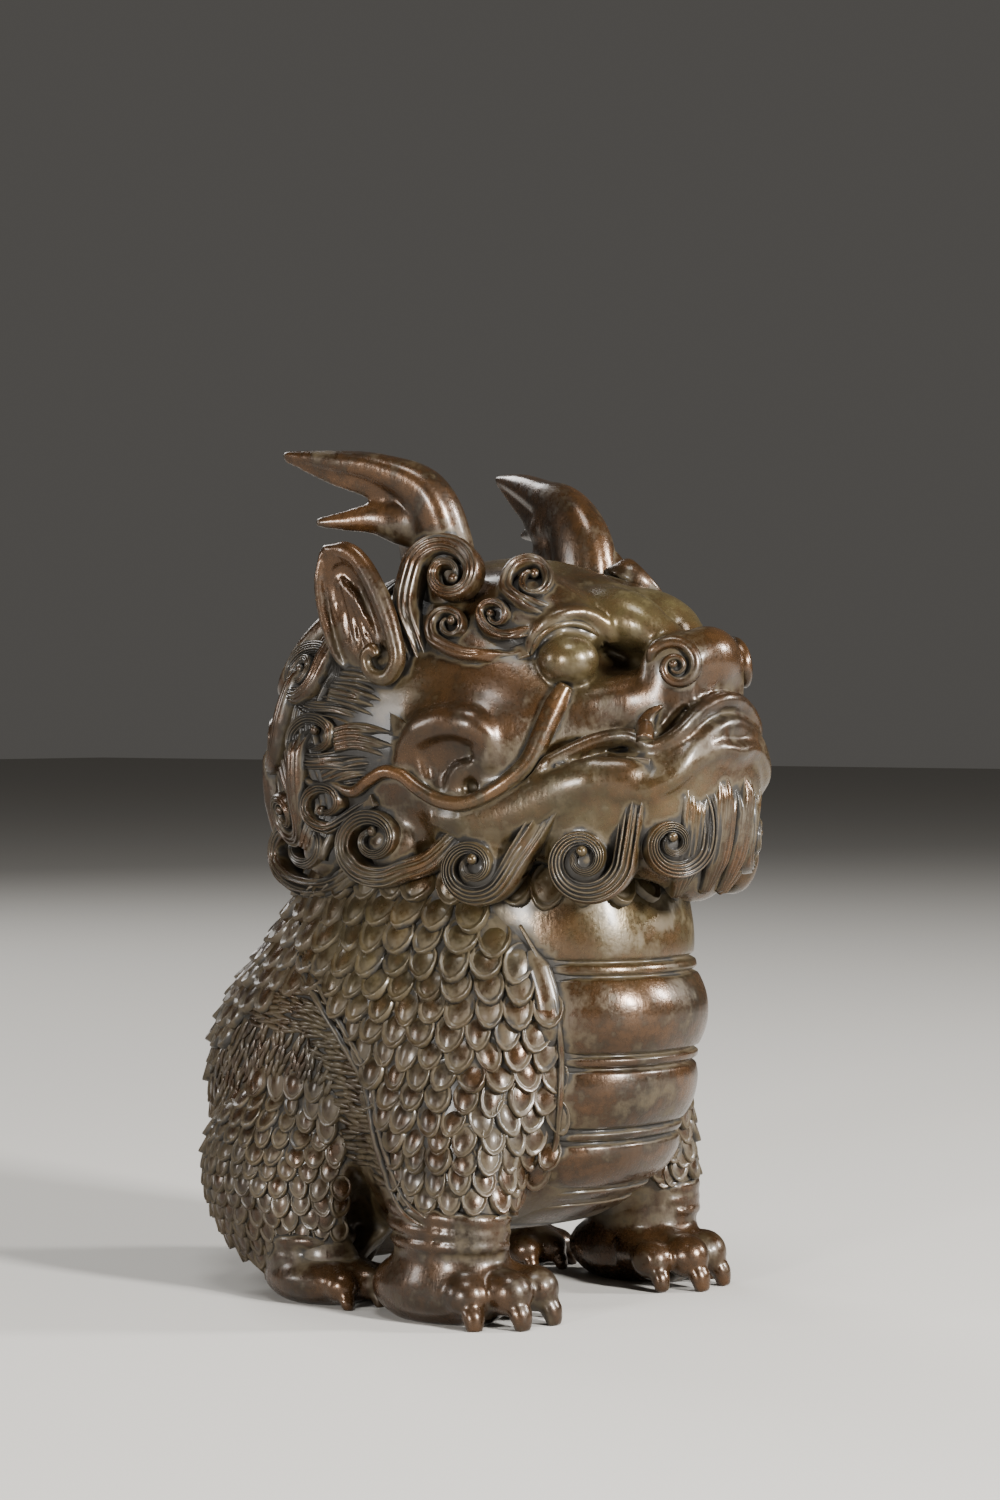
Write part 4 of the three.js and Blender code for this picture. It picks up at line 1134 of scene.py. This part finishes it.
def crowding(places, areas, out, off, grid, spread):
    """How much surface lies round each place, with one for a place just over a flat surface."""
    low = places.min(0) - 2 * KERNEL * grid
    shape = (np.ceil((places.max(0) - low) / grid) + 2 * KERNEL).astype(int)
    cells = ((places - low) / grid).astype(int)
    cloud = np.bincount(np.ravel_multi_index(cells.T, shape), areas, int(np.prod(shape))).reshape(shape)
    shifts = np.arange(-KERNEL, KERNEL + 1)
    core = np.exp(-0.5 * (shifts * grid / spread) ** 2)
    core /= core.sum()
    for axis in range(3):
        cloud = sum(share * np.roll(cloud, shift, axis) for shift, share in zip(shifts, core))
    at = (places + out * off - low) / grid - 0.5
    cell = np.clip(np.floor(at).astype(int), 0, np.array(shape) - 2)
    value = np.zeros(len(places))
    for corner in np.ndindex(2, 2, 2):
        weight = np.prod(np.where(corner, at - cell, 1 - (at - cell)), axis=1)
        value += weight * cloud[tuple((cell + corner).T)]
    return value / grid ** 3 * spread * math.sqrt(2 * math.pi)


def olive_film(points):
    olive = np.zeros(len(points))
    for spot, reach, strength in OLIVE_SPOTS:
        off = np.linalg.norm(np.abs(points * [1, 0, 0]) + points * [0, 1, 1] - spot, axis=1)
        olive = np.maximum(olive, strength * np.exp(-(off / reach) ** 2))
    return olive


def patina_and_shade(meshes):
    """For each piece, an array of point values: enclosed, sheltered, olive, worn; the first two give dust and
    painted shade.
    """
    points = np.concatenate([mesh[0] for mesh in meshes.values()])
    areas = np.concatenate([point_areas(mesh) for mesh in meshes.values()])
    size = np.linalg.norm(areas, axis=1)
    out = areas / np.maximum(size, 1e-9)[:, None]
    enclosed = (crowding(points, size, out, *CLOSE_BY) - ENCLOSED_FROM) / ENCLOSED_OVER
    sheltered = (crowding(points, size, out, *ROUND_ABOUT) - SHELTERED_FROM) / SHELTERED_OVER
    enclosed, sheltered = np.clip(enclosed, 0, 1), np.clip(sheltered, 0, 1)
    olive = olive_film(points)
    values, start = {}, 0
    for name, mesh in meshes.items():
        own = slice(start, start + len(mesh[0]))
        start = own.stop
        close, shade = enclosed[own], sheltered[own]
        if name.startswith("scales"):
            close, shade = scale_dust_and_shade(len(close)) * 0.9, shade * 0.35
        # Locks: sharper contrast, so crests stay clean and grooves get more dust and painted shade
        elif name.startswith("mane"):
            close, shade = np.clip((close - 0.2) * 1.45, 0, 1), shade * 0.7
        elif name == "fur":
            close, shade = 0 * close + 0.22, shade * 0.4
        elif name == "body":
            close = np.maximum(close, 0.32)
        values[name] = np.stack([close, shade, olive[own], 0 * close + WEAR.get(name, WORN_AS_USUAL)], 1)
    return values


# Bronze

class Graph:
    """Shader nodes made and joined; a value is a number, a colour or what another node gives."""

    def __init__(self, material):
        self.tree = material.node_tree

    def node(self, kind, inputs=None, **settings):
        made = self.tree.nodes.new("ShaderNode" + kind)
        for key, value in settings.items():
            setattr(made, key, value)
        for key, value in (inputs or {}).items():
            self.give(made.inputs[key], value)
        return made

    def give(self, socket, value):
        if isinstance(value, bpy.types.NodeSocket):
            self.tree.links.new(value, socket)
        else:
            socket.default_value = value

    def maths(self, operation, a, b, clamp=False):
        return self.node("Math", {0: a, 1: b}, operation=operation, use_clamp=clamp).outputs[0]

    def plus(self, a, b):
        return self.maths("ADD", a, b)

    def times(self, a, b, clamp=False):
        return self.maths("MULTIPLY", a, b, clamp)

    def mix(self, factor, a, b):
        return self.node("Mix", {0: factor, 6: a, 7: b}, data_type="RGBA").outputs[2]

    def noise(self, place, scale, detail, rough):
        inputs = {"Vector": place, "Scale": scale, "Detail": detail, "Roughness": rough}
        return self.node("TexNoise", inputs).outputs[0]

    def ramp(self, value, low, high, to_low=0.0, to_high=1.0):
        inputs = dict(enumerate((value, low, high, to_low, to_high)))
        return self.node("MapRange", inputs, clamp=True).outputs[0]


DARK = (0.0120, 0.0074, 0.0032, 1)
REDDISH = (0.034, 0.0156, 0.0048, 1)
WORN = (0.112, 0.053, 0.019, 1)
DUST = (0.046, 0.0322, 0.0115, 1)
# Near-black painted shade for the deepest crevices
PAINTED_SHADE = (0.0036, 0.0026, 0.0014, 1)
OLIVE = (0.110, 0.088, 0.036, 1)
CASTING_GRAIN = dict(Rotation=(0.4, 0.3, 0.9), Scale=(1, 1, 0.16))


def bronze():
    """Dark brown patination, worn to reddish bronze on crests, with dull olive dust in the recesses and
    near-black painted shade in the deepest of them.
    """
    material = bpy.data.materials.new("patinated_bronze")
    material.use_nodes = True
    g = Graph(material)
    place = g.node("TexCoord").outputs["Object"]
    values = g.node("Attribute", attribute_name="patina_and_shade").outputs
    enclosed, sheltered, olive = g.node("SeparateColor", {0: values["Color"]}).outputs
    clouds = g.noise(place, 110, 5, 0.6)
    patches = g.noise(place, 150, 5, 0.7)
    mottle = g.noise(place, 420, 6, 0.65)
    grain = g.noise(place, 2600, 3, 0.6)
    marks = g.noise(g.node("Mapping", {"Vector": place, **CASTING_GRAIN}).outputs[0], 1700, 3, 0.5)
    # How enclosed and sheltered a point is: this gives olive dust and, in the deepest places, painted shade
    hollow = g.plus(g.times(enclosed, 0.85), g.times(sheltered, 0.3))
    ragged = g.plus(hollow, g.ramp(mottle, 0.3, 0.75, -0.3, 0.28))
    ragged = g.plus(ragged, g.ramp(patches, 0.4, 0.66, -0.06, 0.46))
    dust = g.ramp(ragged, 0.16, 0.62)
    rubbed = g.times(g.ramp(ragged, 0.24, -0.05), g.ramp(clouds, 0.3, 0.7, 0.35))
    green = g.times(olive, g.ramp(mottle, 0.3, 0.62, 0.35), True)
    colour = g.mix(g.ramp(clouds, 0.35, 0.65), DARK, REDDISH)
    colour = g.mix(g.times(rubbed, values["Alpha"], True), colour, WORN)
    colour = g.mix(green, colour, OLIVE)
    colour = g.mix(g.times(dust, 0.8), colour, DUST)
    # Painted shade: the most enclosed points darkened towards near black
    colour = g.mix(g.ramp(ragged, 0.6, 0.95, 0.0, 0.9), colour, PAINTED_SHADE)
    rough = g.plus(g.ramp(dust, 0, 1, 0.27, 0.62), g.ramp(grain, 0.3, 0.7, -0.05, 0.07))
    relief = g.plus(g.plus(g.times(mottle, 0.5), g.times(grain, 0.22)), g.times(marks, 0.35))
    bump = g.node("Bump", {"Strength": 0.5, "Distance": 0.0002, "Height": relief})
    finish = {"Base Color": colour, "Roughness": g.plus(rough, g.ramp(clouds, 0.35, 0.65, 0.06, -0.03)),
              "Metallic": g.ramp(dust, 0, 0.8, 0.55, 0.2), "Coat Weight": 0.26, "Coat Roughness": 0.17,
              "Normal": bump.outputs[0]}
    for key, value in finish.items():
        g.give(material.node_tree.nodes["Principled BSDF"].inputs[key], value)
    return material


def dressed(name, mesh, values, material):
    piece = mesh_object(name, mesh)
    layer = piece.data.attributes.new("patina_and_shade", "FLOAT_COLOR", "POINT")
    layer.data.foreach_set("color", values.astype(np.float32).ravel())
    piece.data.materials.append(material)
    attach(piece, "root")
    if name == "body":
        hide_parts("beast_figure")


# Studio

FLOOR_CORNERS = 3000 * np.array([[-1, -1, 0], [1, -1, 0], [1, 1, 0], [-1, 1, 0]], float)
FLOOR_PAPER = {"Base Color": (0.46, 0.445, 0.415, 1), "Roughness": 0.9}
STUDIO_AIR = {"Color": (0.62, 0.59, 0.55, 1), "Strength": 0.13}
WARM = (1, 0.98, 0.96)
LAMP_AXIS = Vector((0, 0, 0.06))
LIT_POINT = Vector((0, 0, 0.055))
# Turn from the front through the right side and rise in degrees; distance, width, height in m; power; colour
LAMPS = dict(key_light=(8, 18, 0.6, 0.075, 0.12, 11.5, WARM),
             side_light=(-40, 22, 0.6, 0.07, 0.11, 4.8, WARM),
             cheek_light=(82, 4, 0.65, 0.075, 0.12, 4.4, WARM),
             flank_light=(130, 10, 0.65, 0.1, 0.17, 1.5, (1, 0.98, 0.97)),
             top_light=(60, 68, 0.8, 0.22, 0.22, 3, (1, 1, 1)),
             back_light=(-160, 34, 0.8, 0.3, 0.3, 3.4, (1, 1, 1)))


def aimed(thing, way):
    thing.rotation_euler = Vector(way).to_track_quat("-Z", "Y").to_euler()


def lamp(name, turn, rise, distance, width, height, power, colour):
    """A soft lamp round the figure."""
    data = bpy.data.lights.new(name, "AREA")
    data.shape = "RECTANGLE"
    data.size, data.size_y = width, height
    data.energy = power
    data.color = colour
    made = linked(name, data)
    made.location = Vector(bearing(math.radians(turn), math.radians(rise))) * distance + LAMP_AXIS
    aimed(made, LIT_POINT - made.location)


def shaded(owner, node, values):
    """A material or a world with values given to its main node."""
    owner.use_nodes = True
    for key, value in values.items():
        owner.node_tree.nodes[node].inputs[key].default_value = value
    return owner


def studio():
    paper = shaded(bpy.data.materials.new("floor_paper"), "Principled BSDF", FLOOR_PAPER)
    sheet = FLOOR_CORNERS, np.arange(4)[None], np.zeros((0, 3), int)
    floor = mesh_object("studio_floor", sheet, smooth=False)
    floor.data.materials.append(paper)
    bpy.context.scene.world = shaded(bpy.data.worlds.new("studio_air"), "Background", STUDIO_AIR)
    for name, values in LAMPS.items():
        lamp(name, *values)


def camera():
    data = bpy.data.cameras.new("photo_camera")
    data.lens = LENS
    data.sensor_width = SENSOR
    data.clip_start = 0.01
    data.clip_end = 50
    made = linked("photo_camera", data)
    made.location = in_frame(CAMERA_AT)
    aimed(made, LOOK)
    bpy.context.scene.camera = made


def main():
    body = body_clay().surface()
    head = head_clay().surface()
    feet = paws()
    plates = belly()
    body_skin, head_skin = Skin(merged([body, plates, feet])), Skin(head)
    right_scales = scales(body_skin)
    horns = [horn(RIGHT_HORN), mirror(horn(LEFT_HORN))]
    meshes = dict(
        body=body, head=head, paws=both(feet), belly_plates=plates,
        scales_right=right_scales, scales_left=mirror(right_scales),
        seams=both(merged(body_lines(body_skin))), fur=both(strokes(body_skin)),
        mane=both(merged(side_hair(head_skin))), mane_back=merged(back_hair(head_skin)),
        whiskers=both(merged(face_lines(head_skin))), horns=merged(horns), ears=both(ear()), tail=tail())
    values = patina_and_shade(meshes)
    finish = bronze()
    for name, mesh in meshes.items():
        dressed(name, mesh, values[name], finish)
    camera()
    studio()


main()
